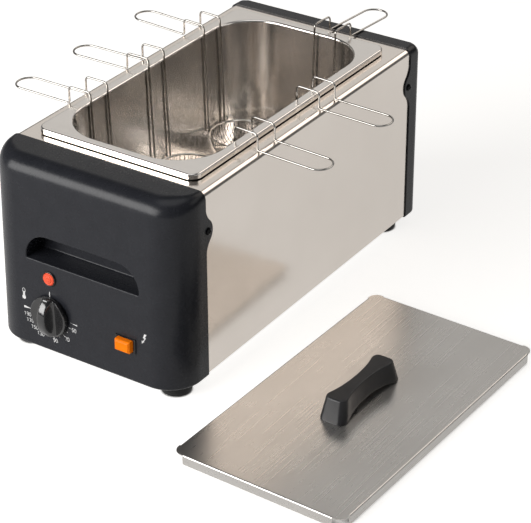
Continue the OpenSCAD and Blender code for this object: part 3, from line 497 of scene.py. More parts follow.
def make_wrap():
    half = BODY_W / 2
    path = [(half - HEM_W, HEM_Z), (half - 0.6, HEM_Z), (half - 0.15, HEM_Z + 0.2), (half, HEM_Z + 0.7),
            (half, 60), (half, 120), (half, TOP - FOLD_R)]
    path += arc(half - FOLD_R, TOP - FOLD_R, FOLD_R, 0, 90, 10)[1:]
    ys = [-BODY_END, -100, 0, 100, BODY_END]
    sides = [([(s * x, y, z) for x, z in path for y in ys], grid_faces(len(path), len(ys))) for s in (-1, 1)]
    edge = [(-(half - FOLD_R), y) for y in ys] + [(half - FOLD_R, y) for y in reversed(ys)]
    hole = rounded_ring(OPEN_W / 2 + HOLE_GAP, OPEN_L / 2 + HOLE_GAP, PAN_R + HOLE_GAP)
    flat = fill_between([[(x, y, TOP) for x, y in edge], [(x, y + PAN_Y, TOP) for x, y in hole]])
    piece("wrap", *join(flat, *sides), "body", "fryer", ["body_wrap"], "stainless", solid=SHEET, crease=40)


make_wrap()

# -------------------------------------------------------------- end caps

FOOT_X, FRONT_FOOT_Y, REAR_FOOT_Y = 82.5, 193.25, 168.75
CAP_HALF, CAP_TOP, CAP_LOW = 106.8, 201.3, 12.7
# Radius of the upright corners, radius of the top edge and depth of the grip pocket
FRONT_SHAPE, REAR_SHAPE = (33.0, 18.0, 24.0), (12.0, 11.0, 12.0)
REAR_Y = 199.25
LOW_R, SEAM_R = 3.0, 7.8  # rounding of the lower edge, and of the top edge where it meets the steel
GRIP_LOW, GRIP_HIGH, GRIP_HALF, GRIP_R, GRIP_SMALL_R = 104.5, 130.5, 63.0, 24.0, 1.5
POCKET_SOFT, POCKET_BACK_R = 1.2, 1.5
LIP, LIP_DEEP, LIP_MIDDLE = 1.15, 10, 107
# Steps along the side and round the corner; the top rounding grows a little along the side and then to its
# full size in GROWN steps of the corner
SIDE_STEPS, CORNER_STEPS, SIDE_SHARE, GROWN = 4, 20, 0.25, 12
# Steps of the lower and of the top rounding, and the rows of a column where the flat face starts and ends
LOW_STEPS, TOP_STEPS = 5, 12
FLAT_FROM, FLAT_TO = LOW_STEPS, LOW_STEPS + 4
TAB_AT, TAB_R, TAB_HOLLOW = (-4.0, 161.5), 14.0, 20.0  # in Y from the seam, and in Z
TONGUE_R, TONGUE_FROM, TONGUE_TO = 14.3, 0.03, 1.14
# The front face leans, and is FACE_Y before the middle at the height FACE_Z
LEAN, FACE_Y, FACE_Z = math.radians(1.5), 219.75, 100


def face_front(z):
    return FACE_Y + (FACE_Z - z) * math.tan(LEAN)


def grip_outline(grow):
    """D-shaped outline in X and Z, anticlockwise from the bottom right, larger by grow."""
    small = GRIP_SMALL_R + grow
    low_x, low_z = GRIP_HALF + grow - small, GRIP_LOW - grow + small
    high_x, high_z = GRIP_HALF - GRIP_R, GRIP_HIGH - GRIP_R
    points = []
    for cx, cz, r, first, steps in ((low_x, low_z, small, -90, 4), (high_x, high_z, GRIP_R + grow, 0, 14),
                                    (-high_x, high_z, GRIP_R + grow, 90, 14), (-low_x, low_z, small, 180, 4)):
        points += arc(cx, cz, r, first, first + 90, steps)
    return points


def mirrored(points):
    return [(-x, y, z) for x, y, z in points]


def across(p):
    """Two points on the way from a point at the right to its mirror image."""
    return [(p[0] / 3, p[1], p[2]), (-p[0] / 3, p[1], p[2])]


def cap_parts(front):
    """One cap, drawn at the front, in mm: shell, outer face with its grip pocket, and the lip at the seam."""
    corner, top_r, depth = FRONT_SHAPE if front else REAR_SHAPE
    wall_low, wall_top = CAP_LOW + LOW_R, CAP_TOP - top_r

    def face(z):
        return face_front(z) if front else REAR_Y

    def corner_y(z):
        return -face(min(max(z, wall_low), wall_top)) + corner

    # columns: (inward direction, plan position as a function of height, growth of the top rounding)
    columns = []
    for i in range(SIDE_STEPS + 1):
        t = i / SIDE_STEPS
        columns.append((Vector((-1, 0, 0)),
                        lambda z, t=t: (CAP_HALF, -SEAM + (corner_y(z) + SEAM) * t), t * SIDE_SHARE))
    for i, (u, v) in enumerate(disc(1.0, CORNER_STEPS * 4)[1:CORNER_STEPS + 1], 1):
        columns.append((Vector((-u, v, 0)),
                        lambda z, u=u, v=v: (CAP_HALF - corner + corner * u, corner_y(z) - corner * v),
                        SIDE_SHARE + (1 - SIDE_SHARE) * min(1, i / GROWN)))
    right = []
    for inward, place, grown in columns:
        r = SEAM_R + (top_r - SEAM_R) * grown * grown * (3 - 2 * grown)
        profile = arc(LOW_R, wall_low, LOW_R, 270, 180, LOW_STEPS) + [(0, 60), (0, 120), (0, wall_top - 2)]
        profile += arc(r, CAP_TOP - r, r, 180, 90, TOP_STEPS)
        for inset, z in profile:
            right.append(tuple(Vector((*place(z), z)) + inward * inset))
    left = mirrored(right)
    rows = len(profile)
    parts = [(side, grid_faces(len(columns), rows)) for side in (right, left)]
    last = right[-rows:]
    mirror = mirrored(last)
    # strips below and above the flat front face
    for a, b in ((0, FLAT_FROM), (FLAT_TO, rows - 1)):
        strip = []
        for k in range(a, b + 1):
            strip += [last[k], *across(last[k]), mirror[k]]
        parts.append((strip, grid_faces(b - a + 1, 4)))
    # flat face round the grip pocket
    flat_rows = slice(FLAT_FROM, FLAT_TO + 1)
    border = last[flat_rows] + across(last[FLAT_TO]) + mirror[flat_rows][::-1] + across(last[FLAT_FROM])[::-1]
    hole = grip_outline(POCKET_SOFT)
    flat = fill_between([[(x, z, 0) for x, y, z in border], [(x, z, 0) for x, z in hole]])
    parts.append(([(x, -face(z), z) for x, z, _ in flat[0]], flat[1]))
    # pocket: rounded entry, straight wall, rounded back edge and back wall
    back = -face(GRIP_LOW) + depth
    rings = [[(x, -face(z) + POCKET_SOFT * (1 - math.cos(a)), z)
              for x, z in grip_outline(POCKET_SOFT * (1 - math.sin(a)))] for a in angles(PI / 2, 4)]
    rings += [[(x, back - POCKET_BACK_R * (1 - math.sin(a)), z)
               for x, z in grip_outline(-POCKET_BACK_R * (1 - math.cos(a)))] for a in angles(PI / 2, 4)]
    parts.append(loft(rings, False))
    # top and bottom
    for row in (rows - 1, 0):
        edge = right[row::rows]
        edge += across(edge[-1]) + left[row::rows][::-1]
        parts.append((edge, [tuple(range(len(edge)))]))
    # lip: the seam edge turned in over the steel
    seam = right[:rows] + mirrored(right[:rows])[::-1]
    inside = [(x - math.copysign(LIP, x), -SEAM, z - math.copysign(LIP, z - LIP_MIDDLE)) for x, y, z in seam]
    deep = [(x, y - LIP_DEEP, z) for x, y, z in inside]
    parts.append((seam + inside + deep, grid_faces(3, len(seam), True)))
    return parts


def tab_outline(inset):
    """Round tab over the steel, in Y and Z, blended into the seam by two hollow curves."""
    (cy, cz), r, hollow = TAB_AT, TAB_R, TAB_HOLLOW
    away = math.sqrt((r + hollow) ** 2 - (hollow - cy) ** 2)
    touch = math.atan2(away, hollow - cy)
    lower = [(max(0.0, hollow - (hollow + inset) * math.cos(a)), cz - away + (hollow + inset) * math.sin(a))
             for a in angles(touch, 12)]
    end = arc(cy, cz, r - inset, -math.degrees(touch), math.degrees(touch), 32)[1:-1]
    return lower + end + [(y, 2 * cz - z) for y, z in reversed(lower)]


def tab_parts():
    parts = []
    for s in (-1, 1):
        rings = [[(s * (CAP_HALF - deep), -SEAM + y, z) for y, z in tab_outline(inset)]
                 for deep, inset in ((0, 0.35), (0.1, 0.1), (0.35, 0), (LIP, 0))]
        parts.append(loft(rings))
    return parts


def foot_tongues():
    """Flat round tongues of the rear cap that the rear feet are screwed to."""
    return [loft([[(foot_x + x, -REAR_FOOT_Y + y, CAP_LOW + z) for x, y in disc(TONGUE_R)]
                  for z in (TONGUE_FROM, TONGUE_TO)]) for foot_x in (-FOOT_X, FOOT_X)]


def make_caps():
    tabs = join(*tab_parts())
    for name, front in (("front_cap", True), ("rear_cap", False)):
        def how(p, turn=1 if front else -1):
            return Vector((turn * p.x, turn * p.y, p.z))
        shell = cap_parts(front) + ([] if front else foot_tongues())
        piece(name + "_shell", *moved(join(*shell), how), "cap", "fryer", [name], "cap_plastic", crease=28)
        piece(name + "_tabs", *moved(tabs, how), "cap", "fryer", (), "cap_plastic")


make_caps()

# ------------------------------------------------------------------- pan

FLANGE = (88.0, 162.5, 11.0)  # half width, half length, corner radius
FLANGE_LOW, FLANGE_TOP, FLANGE_EDGE, ROLL = 201.2, 206.3, 1.6, 2.2
PAN_FLOOR, FLOOR_R, WALL_SLOPE = 56.3, 20.0, math.tan(math.radians(2))


def make_pan():
    rings = []

    def ring(half_w, half_l, radius, z, inset=0.0):
        corners = rounded_ring(half_w - inset, half_l - inset, radius - inset, 14, 6)
        rings.append([(x, y + PAN_Y, z) for x, y in corners])

    # the flange's turned-down edge, its flat top and the roll into the opening
    ring(*FLANGE, FLANGE_LOW)
    ring(*FLANGE, FLANGE_LOW + FLANGE_EDGE)
    for a in angles(PI / 2, 5):
        ring(*FLANGE, FLANGE_TOP - FLANGE_EDGE + FLANGE_EDGE * math.sin(a), FLANGE_EDGE * (1 - math.cos(a)))
    opening = (OPEN_W / 2, OPEN_L / 2, PAN_R)
    ring(*[(a + b) / 2 for a, b in zip(FLANGE, opening)], FLANGE_TOP)
    for a in angles(PI / 2, 6):
        ring(*opening, FLANGE_TOP - ROLL + ROLL * math.cos(a), -ROLL * (1 - math.sin(a)))
    # leaning walls, whose corners tighten half as fast, and the rounded floor
    depth = FLANGE_TOP - PAN_FLOOR - FLOOR_R
    for i in range(1, 11):
        d = ROLL + (depth - ROLL) * i / 10
        lean = d * WALL_SLOPE
        low = (opening[0] - lean, opening[1] - lean, opening[2] - lean * 0.5)
        ring(*low, FLANGE_TOP - d)
    for a in angles(PI / 2, 10, 1):
        ring(*low, PAN_FLOOR + FLOOR_R * (1 - math.sin(a)), FLOOR_R * (1 - math.cos(a)))
    for k in (0.8, 0.5, 0.25):
        half = (low[0] - FLOOR_R) * k
        ring(half + 1, low[1] - low[0] + half, (low[2] - FLOOR_R) * k, PAN_FLOOR)
    piece("pan_shell", *loft(rings, False), "pan", "fryer", ["pan"], "pan_steel", solid=SHEET, crease=50)


make_pan()

# -------------------------------------------------------------- controls

FACE_GAP = 0.03  # pieces on the front stand off its face by this


def on_face(x, z):
    """Maps a piece drawn with +Z outwards onto the leaning front face."""
    out = Vector((0, -math.cos(LEAN), math.sin(LEAN)))
    up = Vector((0, math.sin(LEAN), math.cos(LEAN)))
    at = Vector((x, -face_front(z) - FACE_GAP, z))

    def how(p):
        return at + Vector((1, 0, 0)) * p.x + up * p.y + out * p.z
    return how


KNOB_R, KNOB_HEIGHT, KNOB_RIM, KNOB_HOLLOW, KNOB_EDGE, KNOB_DROP = 20.0, 15.0, 5.0, 2.6, 1.4, 1.6
# Grip bar: half width, taper, fall of its top towards the sides, width of its flank, and its arched crest
BAR_HALF, BAR_TAPER, BAR_FALL, BAR_FLANK, CREST_R, CREST_HALF = 4.6, 0.012, 0.8, 3.4, 23.75, 18.5


def knob_height(x, y):
    """Height of the knob's front over a point of its disc."""
    half = BAR_HALF - BAR_TAPER * (y + KNOB_R)
    crest = KNOB_HEIGHT - CREST_R + math.sqrt(CREST_R ** 2 - min(abs(y), CREST_HALF) ** 2)
    out = abs(x) - half
    if out <= 0:
        value = crest - BAR_FALL * (abs(x) / half) ** 4
    else:
        # hollow beside the bar, rising to the rim, and the bar's flank
        span = max(0.5, math.sqrt(max(0.0, KNOB_R * KNOB_R - y * y)) - half)
        value = KNOB_HOLLOW + (KNOB_RIM - KNOB_HOLLOW) * min(1.0, out / span) ** 2.2
        value += (crest - BAR_FALL - value) * max(0.0, 1 - out / BAR_FLANK) ** 2.4
    edge = max(0.0, (math.hypot(x, y) - (KNOB_R - KNOB_EDGE)) / KNOB_EDGE)
    return value - KNOB_DROP * edge ** 2


def make_knob():
    """Rimmed skirt with two scooped hollows and a slightly tapered grip bar between them."""
    back = face_front(KNOB_Z - KNOB_R) + 0.6
    rows, sides = 40, 96
    verts = [(x, y, knob_height(x, y)) for i in range(rows + 1)
             for x, y in disc(KNOB_R * (i / rows) ** 0.85, sides)]
    for r, h in ((KNOB_R, 1.6), (KNOB_R, 0.4), (KNOB_R - 0.4, 0.0)):
        verts += [(x, y, h) for x, y in disc(r, sides)]
    faces = grid_faces(rows + 4, sides, True)
    faces.append(tuple(range(len(verts) - sides, len(verts))))

    def how(p):
        return Vector((KNOB_X + p.x, -back - p.z, KNOB_Z + p.y))
    piece("knob_grip", *moved((verts, faces), how), "knob", "knob", ["knob"], "knob_plastic", weld=0.01)


def make_lamp():
    how = on_face(KNOB_X, LAMP_Z)
    bezel = lathe([(7.5, 0), (7.5, 0.9), (7.2, 1.3), (6.7, 1.4), (6.35, 1.2), (6.3, 0.3)])
    piece("lamp_ring", *moved(bezel, how), "trim", "fryer", ["lamp_bezel"], "trim_plastic")
    lens = lathe([(6.2, 0.1), (6.2, 1.2), (5.9, 1.7), (5.2, 1.95), (4.6, 1.8), (4.2, 1.75), (3.6, 2.1),
                  (2.4, 2.35), (1.2, 2.45), (0.01, 2.48)])
    piece("lamp_dome", *moved(lens, how), "lamp", "fryer", ["lamp_lens"], "lamp_orange")


SWITCH_AT = (48.0, 51.0)
BEZEL, KEY = (11.4, 7.6), (8.4, 5.9)  # half widths and half heights
KEY_OUT, KEY_IN = 7.0, -3.2


def make_switch():
    how = on_face(*SWITCH_AT)

    def rings(size, rows):
        return [[(x, y, z) for x, y in rounded_ring(size[0] + grow_w, size[1] + grow_h, r, 3)]
                for grow_w, grow_h, r, z in rows]
    frame_rings = rings(BEZEL, ((0, 0, 1.0, 0), (0, 0, 1.0, 1.0), (-0.5, -0.5, 0.7, 1.5)))
    frame_rings += rings(KEY, ((0.7, 0.55, 0.6, 1.45), (0.4, 0.35, 0.5, 1.0), (0.4, 0.35, 0.5, -6)))
    piece("switch_bezel", *moved(loft(frame_rings), how), "trim", "fryer", ["switch_housing"], "trim_plastic",
          crease=45)
    key_rows = ((0, KEY_IN), (0, KEY_OUT - 1.9), (0.35, KEY_OUT - 1.3), (1.5, KEY_OUT - 0.25), (2.0, KEY_OUT),
                (2.6, KEY_OUT - 0.05))
    key = loft(rings(KEY, [(-inset, -inset, max(0.3, 0.8 - inset / 3), z) for inset, z in key_rows]))
    piece("switch_button", *moved(key, how), "key", "switch_key", ["switch_key"], "key_orange", crease=25)


make_knob()
make_lamp()
make_switch()

# ---------------------------------------------------------------- prints

PRINT_OUT, PRINT_THICK = 0.06, 0.08
DIGIT_HEIGHT, DIGIT_NARROW, DIGIT_LINE, DIGIT_STEP, DIGIT_GAP = 3.5, 0.82, 0.55, 2.9, 0.9
# The scale: angles in degrees clockwise from the top, radii of its long and short marks; a number stands at
# NUMBER_REACH and 1 mm more for each digit
SCALE_LINE, LONG_MARK, SHORT_MARK, NUMBER_REACH, NUMBER_FLAT = 0.6, (21.2, 23.3), (21.4, 22.3), 25.5, 0.93
NUMBERS = (("50", 107), ("70", 139), ("90", 171), ("130", 207), ("150", 224), ("170", 240), ("190", 254))
TICKS = (123, 155, 189, 216, 247)


def bar_shape(x0, y0, x1, y1, width):
    d = Vector((x1 - x0, y1 - y0)).normalized()
    n = Vector((-d.y, d.x)) * width / 2
    return [(x0 + n.x, y0 + n.y), (x0 - n.x, y0 - n.y), (x1 - n.x, y1 - n.y), (x1 + n.x, y1 + n.y)]


# Each digit as polylines on a 2 x 3 grid
DIGITS = {
    "0": [[(0, 0.5), (0, 2.5), (0.5, 3), (1.5, 3), (2, 2.5), (2, 0.5), (1.5, 0), (0.5, 0), (0, 0.5)]],
    "1": [[(0.3, 2.4), (1.1, 3), (1.1, 0)]],
    "3": [[(0, 2.6), (0.5, 3), (1.5, 3), (2, 2.5), (2, 2), (1.5, 1.6), (0.8, 1.6)],
          [(1.5, 1.6), (2, 1.1), (2, 0.5), (1.5, 0), (0.5, 0), (0, 0.4)]],
    "5": [[(1.9, 3), (0.2, 3), (0.1, 1.7), (1.4, 1.8), (2, 1.3), (2, 0.5), (1.5, 0), (0.5, 0), (0, 0.4)]],
    "7": [[(0, 3), (2, 3), (0.8, 0)]],
    "9": [[(1.9, 1.6), (0.5, 1.4), (0, 1.9), (0, 2.5), (0.5, 3), (1.5, 3), (2, 2.5), (2, 1), (1.4, 0),
           (0.4, 0)]],
}


def number(text, x, y):
    """Shapes of a number centred on a point."""
    tall = DIGIT_HEIGHT / 3
    wide = tall * DIGIT_NARROW
    left = x - (DIGIT_STEP * len(text) - DIGIT_GAP) * wide / 2
    shapes = []
    for n, digit in enumerate(text):
        at = left + DIGIT_STEP * wide * n
        for line in DIGITS[digit]:
            spots = [(at + u * wide, y + (v - 1.5) * tall) for u, v in line]
            shapes += [bar_shape(*a, *b, DIGIT_LINE) for a, b in zip(spots, spots[1:])]
    return shapes


def tick(angle, near, far):
    """A mark of the scale between two radii."""
    u, v = math.sin(math.radians(angle)), math.cos(math.radians(angle))
    return bar_shape(KNOB_X + near * u, KNOB_Z + near * v, KNOB_X + far * u, KNOB_Z + far * v, SCALE_LINE)


def thermometer(x, y):
    bulb = [(x + u, y - 1.4 + v) for u, v in disc(2.1, 20)]
    stem = [(x - 1.1, y), (x + 1.1, y), (x + 1.1, y + 4.6), (x - 1.1, y + 4.6)]
    outline = [(x + 1.45, y + 4)] + arc(x, y + 6.4, 1.45, 0, 180, 8) + [(x - 1.45, y + 4)]
    return [bulb, stem] + [bar_shape(*a, *b, SCALE_LINE) for a, b in zip(outline, outline[1:])]


def lightning(x, y):
    shapes = (
        ((0.4, 5.3), (2.9, 5.3), (1.1, 1.7), (-1.2, 1.0)), ((-1.2, 1.0), (1.1, 1.7), (2.2, 1.2), (0.5, 0.2)),
        ((0.5, 0.2), (2.2, 1.2), (-0.8, -3.2), (-1.6, -3.0)), ((-2.6, -2.2), (0.3, -2.6), (-2.4, -5.4)),
    )
    return [[(x + u, y + v) for u, v in shape] for shape in shapes]


def make_prints():
    """Flat white print: outlines in the face's own X and Z, laid a hair over the front face."""
    shapes = [bar_shape(KNOB_X - 0.4, 71.1, KNOB_X - 0.4, 76.3, 0.9)]
    for text, angle in NUMBERS:
        a = math.radians(angle)
        reach = NUMBER_REACH + len(text)
        shapes += number(text, KNOB_X + reach * math.sin(a), KNOB_Z + NUMBER_FLAT * reach * math.cos(a))
        shapes.append(tick(angle, *LONG_MARK))
    shapes += [tick(angle, *SHORT_MARK) for angle in TICKS]
    # ends of the scale: plain wedges instead of words
    shapes.append([(KNOB_X + 22, KNOB_Z - 0.4), (KNOB_X + 30, KNOB_Z - 2.0), (KNOB_X + 30, KNOB_Z - 0.8)])
    shapes.append([(KNOB_X - 22, KNOB_Z - 0.4), (KNOB_X - 31, KNOB_Z + 0.9), (KNOB_X - 31, KNOB_Z - 1.7)])
    shapes += thermometer(-67.6, 63.0) + lightning(68.4, 62.4)
    parts = [loft([[(x, y, out) for x, y in shape] for out in (0.0, PRINT_THICK)]) for shape in shapes]

    def how(p):
        return Vector((p.x, -face_front(p.y) - PRINT_OUT - p.z, p.y))
    piece("panel_print", *moved(join(*parts), how), "print", "fryer", (), crease=30, weld=0.0005)


make_prints()

# ------------------------------------------------------------------ feet


def make_feet():
    foot = lathe([(4.5, 4), (4.5, 0.4), (4.9, 0.0), (13.2, 0.0), (13.9, 0.6), (14.5, 2.8), (14.8, 4.5),
                  (14.8, 12.6)], 40)
    parts = [moved(foot, lambda p, at=Vector((x, y, 0)): p + at)
             for x in (-FOOT_X, FOOT_X) for y in (-FRONT_FOOT_Y, REAR_FOOT_Y)]
    piece("rubber_feet", *join(*parts), "rubber", "fryer", ["feet"], "foot_rubber", crease=50)


make_feet()

# ------------------------------------------------------------------- lid

LID_AT, LID_TURN = Vector((236.5, -128, 0)), math.radians(-1.75)
LID_W, LID_L, LID_TOP, LID_BEND = 87.75, 160.5, 9.5, 1.8  # half width, half length, height, bend radius
NOTCH, NOTCH_R = 11.0, 9.0  # the open corners: length along each side, rounding of the plate


def on_lid(p):
    c, s = math.cos(LID_TURN), math.sin(LID_TURN)
    return Vector((p.x * c - p.y * s + LID_AT.x, p.x * s + p.y * c + LID_AT.y, p.z))


def make_lid():
    inner_w, inner_l = LID_W - LID_BEND, LID_L - LID_BEND
    notch_x, notch_y = LID_W - NOTCH, LID_L - NOTCH
    # plate with its four open corners; its sides carry the same points as the skirts
    outline = []
    for sx, sy, first in CORNERS:
        tip = arc(sx * (LID_W - NOTCH_R), sy * (LID_L - NOTCH_R), NOTCH_R, first, first + 90, 8)
        along = [(sx * inner_w, sy * 50), (sx * inner_w, sy * notch_y), (sx * LID_W, sy * notch_y)]
        over = [(sx * notch_x, sy * LID_L), (sx * notch_x, sy * inner_l), (sx * 30, sy * inner_l)]
        outline += along + tip + over if sx * sy > 0 else over[::-1] + tip + along[::-1]
    parts = [fill_between([[(x, y, LID_TOP) for x, y in outline]])]
    # skirts: a bend and a short wall on each side
    path = arc(0, -LID_BEND, LID_BEND, 90, 0, 6)
    path += [(LID_BEND, -LID_TOP * 0.5), (LID_BEND, -LID_TOP + 0.3), (LID_BEND - 0.15, -LID_TOP)]
    faces = grid_faces(len(path), 4)
    xs, ys = (-notch_x, -30, 30, notch_x), (-notch_y, -50, 50, notch_y)
    for s in (-1, 1):
        parts.append(([(s * (inner_w + d), y, LID_TOP + h) for d, h in path for y in ys], faces))
        parts.append(([(x, s * (inner_l + d), LID_TOP + h) for d, h in path for x in xs], faces))
    piece("lid_sheet", *moved(join(*parts), on_lid), "lid", "lid", ["lid_panel"], "stainless", solid=SHEET,
          crease=45)


# Lid handle, at its foot and at its top: half length, half width at the ends and at the waist, corner radius
GRIP_FOOT, GRIP_TOP = (49.0, 13.5, 8.2, 9.0), (42.6, 10.3, 5.7, 7.0)
GRIP_HEIGHT, GRIP_EDGE, GRIP_ARCH, GRIP_ARCH_HALF = 22.0, 1.6, 4.5, 40
WAIST_BOW, END_FLAT = 0.86, 0.12


def make_lid_handle():
    """Waisted bar: rings from foot to top, raised between its ends by the arch."""
    side_steps, end_steps = 28, 14
    rings = []

    def bow(k):
        return 1 - math.sqrt(1 - (k * WAIST_BOW) ** 2)

    def ring(f, inset, z):
        half_l, end_w, waist_w, r = [a + (b - a) * f - inset for a, b in zip(GRIP_FOOT, GRIP_TOP)]
        reach = half_l - r

        def side_x(y):
            return waist_w + (end_w - waist_w) * bow(min(1.0, abs(y) / (reach - 1))) / bow(1.0)

        def end_x(c):
            """Squarish end: two corners of radius r joined by a short flat."""
            if abs(c) > END_FLAT:
                return math.copysign(min(end_w, end_w - r + r * abs(c) ** 0.8), c)
            return c / END_FLAT * (end_w - r + r * END_FLAT ** 0.8)
        points = [(side_x(y), y) for y in [-reach + d for d in angles(2 * reach, side_steps)]]
        points += [(end_x(math.cos(a)), reach + r * math.sin(a) ** 0.9)
                   for a in angles(PI, end_steps, 1)[:-1]]
        points += [(-x, -y) for x, y in points]
        out = []
        for x, y in points:
            arch = GRIP_ARCH * max(0.0, 1 - (y / GRIP_ARCH_HALF) ** 2)
            out.append((x, y, LID_TOP + arch + z * (GRIP_HEIGHT - arch) / GRIP_HEIGHT))
        rings.append(out)

    for f, inset, z in ((0.0, 0.9, 0.0), (0.0, 0.25, 0.25), (0.03, 0.0, 0.9)):
        ring(f, inset, z)
    for f in (0.25, 0.5, 0.75, 0.93):
        ring(f, 0.0, f * GRIP_HEIGHT)
    for a in angles(PI / 2, 5, 1):
        ring(1.0 - GRIP_EDGE / GRIP_HEIGHT * (1 - math.sin(a)), GRIP_EDGE * (1 - math.cos(a)),
             GRIP_HEIGHT - GRIP_EDGE + GRIP_EDGE * math.sin(a))
    piece("lid_grip", *moved(loft(rings), on_lid), "handle", "lid", ["lid_handle"], "handle_plastic",
          crease=38)


make_lid()
make_lid_handle()

# --------------------------------------------------------------- baskets

HOOK_SPAN, WIRE_GAP, WIRE_R, HOOK_Z, HANDLE_L = 25.0, 25.5, 1.0, 217.0, 71.0
LEG_LEAN, RING_Z, RING_R, TOUCH = 4.6, 103.3, 30.0, 0.03
HOOK_BEND, FOOT_BEND, REST_GAP = 4, 2.5, 0.2
NET_R, NET_PITCH, NET_WIRE, NET_WAVE, NET_TOP = RING_R - 0.45, 3.2, 0.32, 0.16, -0.2
SIDE_LEG = OPEN_W / 2 - 1.2
REAR_LEG = PAN_Y + OPEN_L / 2 - 3.1
# side that the basket hangs at, place along it, and its small turn in degrees
BASKETS = {
    "left_1": ("left", -86.5, 0), "left_2": ("left", 3, 1), "left_3": ("left", 97, -4),
    "right_1": ("right", -72, -3.5), "right_2": ("right", 30, -2.5), "rear": ("rear", 27.5, -5),
}
RING_BACK = -HOOK_SPAN / 2 - LEG_LEAN - math.sqrt((RING_R + 2 * WIRE_R + TOUCH) ** 2 - (WIRE_GAP / 2) ** 2)


def handle_height(side, yaw):
    """Height of the handle's wire where it rests on the folded edge, or on the cap for the rear basket."""
    if side == "rear":
        return CAP_TOP + WIRE_R + REST_GAP
    swing = abs(math.sin(math.radians(yaw))) * WIRE_GAP / 2
    away = max(0.0, SIDE_LEG + HOOK_SPAN - 2 * swing + FOOT_BEND - (BODY_W / 2 - FOLD_R))
    apart = FOOT_BEND + WIRE_R + FOLD_R + REST_GAP
    return max(TOP - FOLD_R + math.sqrt(apart * apart - away * away) - FOOT_BEND, TOP - WIRE_R)


def basket_place(side, spot, yaw):
    leg = REAR_LEG if side == "rear" else SIDE_LEG
    mid = leg + HOOK_SPAN / 2 - abs(math.sin(math.radians(yaw))) * WIRE_GAP / 2
    turn_z = math.radians({"rear": 90, "left": 180, "right": 0}[side] + yaw)
    at = (spot, mid) if side == "rear" else (-mid if side == "left" else mid, spot)
    c, s = math.cos(turn_z), math.sin(turn_z)

    def how(p):
        return Vector((p.x * c - p.y * s + at[0], p.x * s + p.y * c + at[1], p.z))
    return how


def net_wires():
    """Wires of a net woven over a half sphere, in both directions."""
    wires = []
    count = int((NET_R - 1) / NET_PITCH)
    for k in range(-count, count + 1):
        offset = k * NET_PITCH
        r = math.sqrt(NET_R * NET_R - offset * offset)
        steps = max(8, int(26 * r / NET_R))
        for crosswise in (False, True):
            points = []
            for i, a in enumerate(angles(PI, steps)):
                u, h = r * math.cos(a), -r * math.sin(a)
                weave = NET_WAVE * math.cos(u / NET_PITCH * PI + k * PI) * (1 if crosswise else -1)
                q = Vector((offset, u, h) if crosswise else (u, offset, h)) * (1 + weave / NET_R)
                if i in (0, steps):
                    q.z = min(q.z, NET_TOP)
                points.append(Vector((RING_BACK, 0, RING_Z)) + q)
            wires.append(tube(points, NET_WIRE, 4))
    return wires


def make_basket(name, side, spot, yaw):
    how = basket_place(side, spot, yaw)
    body = "basket_" + name
    half, out = WIRE_GAP / 2, HOOK_SPAN / 2
    end = out + HANDLE_L
    z = handle_height(side, yaw)
    foot = -out - LEG_LEAN
    one = [(foot, half, RING_Z - 2 * WIRE_R), (-out, half, HOOK_Z), (out, half, HOOK_Z), (out, half, z),
           (end, half, z)]
    other = [(x, -y, h) for x, y, h in reversed(one)]
    bends = [HOOK_BEND, HOOK_BEND, FOOT_BEND, half - TOUCH]
    wire = tube(route(one + other, bends + bends[::-1], 8), WIRE_R, 14)
    piece(name + "_wire", *moved(wire, how), "wire", body, [name + "_frame"], "wire")
    # bowl: rim wire and woven net
    circle = [Vector((RING_BACK, 0, RING_Z)) + Vector((x, y, 0)) for x, y in disc(RING_R, 64)]
    rim = tube(circle, WIRE_R * 0.98, 10, closed=True)
    piece(name + "_rim", *moved(rim, how), "rim", body, [name + "_bowl"], "mesh", crease=80)
    piece(name + "_net", *moved(join(*net_wires()), how), "mesh", body, [name + "_bowl"], "mesh", crease=80,
          weld=0.0001)


for basket_name, place in BASKETS.items():
    make_basket(basket_name, *place)

# ------------------------------------------------------- floor and lights

FLOOR_WHITE, FLOOR_SHINE = 0.80, 0.59  # what the floor adds for the camera, and what it shows in reflections
FLOOR_DIM, FLOOR_HALF = (0.25, 0.25, 0.25, 1), 8
SHADE_REACH, SHADE_FROM, SHADE_TO = 0.012, 0.45, 0.60  # contact shade under the feet and the lid


def make_floor():
    """A pale floor that keeps its shadows: white for the camera, and a plain pale tone in reflections."""
    mesh = bpy.data.meshes.new("floor")
    mesh.from_pydata([(sx * FLOOR_HALF, sy * FLOOR_HALF, 0) for sx, sy, _ in CORNERS], [], [(0, 1, 2, 3)])
    floor = bpy.data.objects.new("floor", mesh)
    floor.location.z = -0.0002
    bpy.context.scene.collection.objects.link(floor)
    mat, tree, shader = new_material("floor")
    path = add_node(tree, "ShaderNodeLightPath").outputs
    tone = blend_colours(tree, noise(tree, 3, 2), (0.80, 0.80, 0.79), (0.84, 0.84, 0.83))
    base = add_node(tree, "ShaderNodeMixRGB", {0: path["Is Glossy Ray"], 1: tone, 2: FLOOR_DIM})
    shine = add_node(tree, "ShaderNodeMath", {0: path["Is Glossy Ray"], 1: FLOOR_SHINE}, operation="MULTIPLY")
    covered = add_node(tree, "ShaderNodeAmbientOcclusion", {"Distance": SHADE_REACH})
    white = map_range(tree, covered.outputs["AO"], SHADE_FROM, SHADE_TO, 0.0, FLOOR_WHITE)
    added = add_node(tree, "ShaderNodeMath", {0: path["Is Camera Ray"], 1: white, 2: shine.outputs[0]},
                     operation="MULTIPLY_ADD")
    connect(tree, shader, {
        "Base Color": base.outputs[0], "Roughness": 0.9, "Specular IOR Level": 0.0,
        "Emission Color": (1.0, 0.985, 0.965, 1), "Emission Strength": added.outputs[0],
    })
    mesh.materials.append(mat)


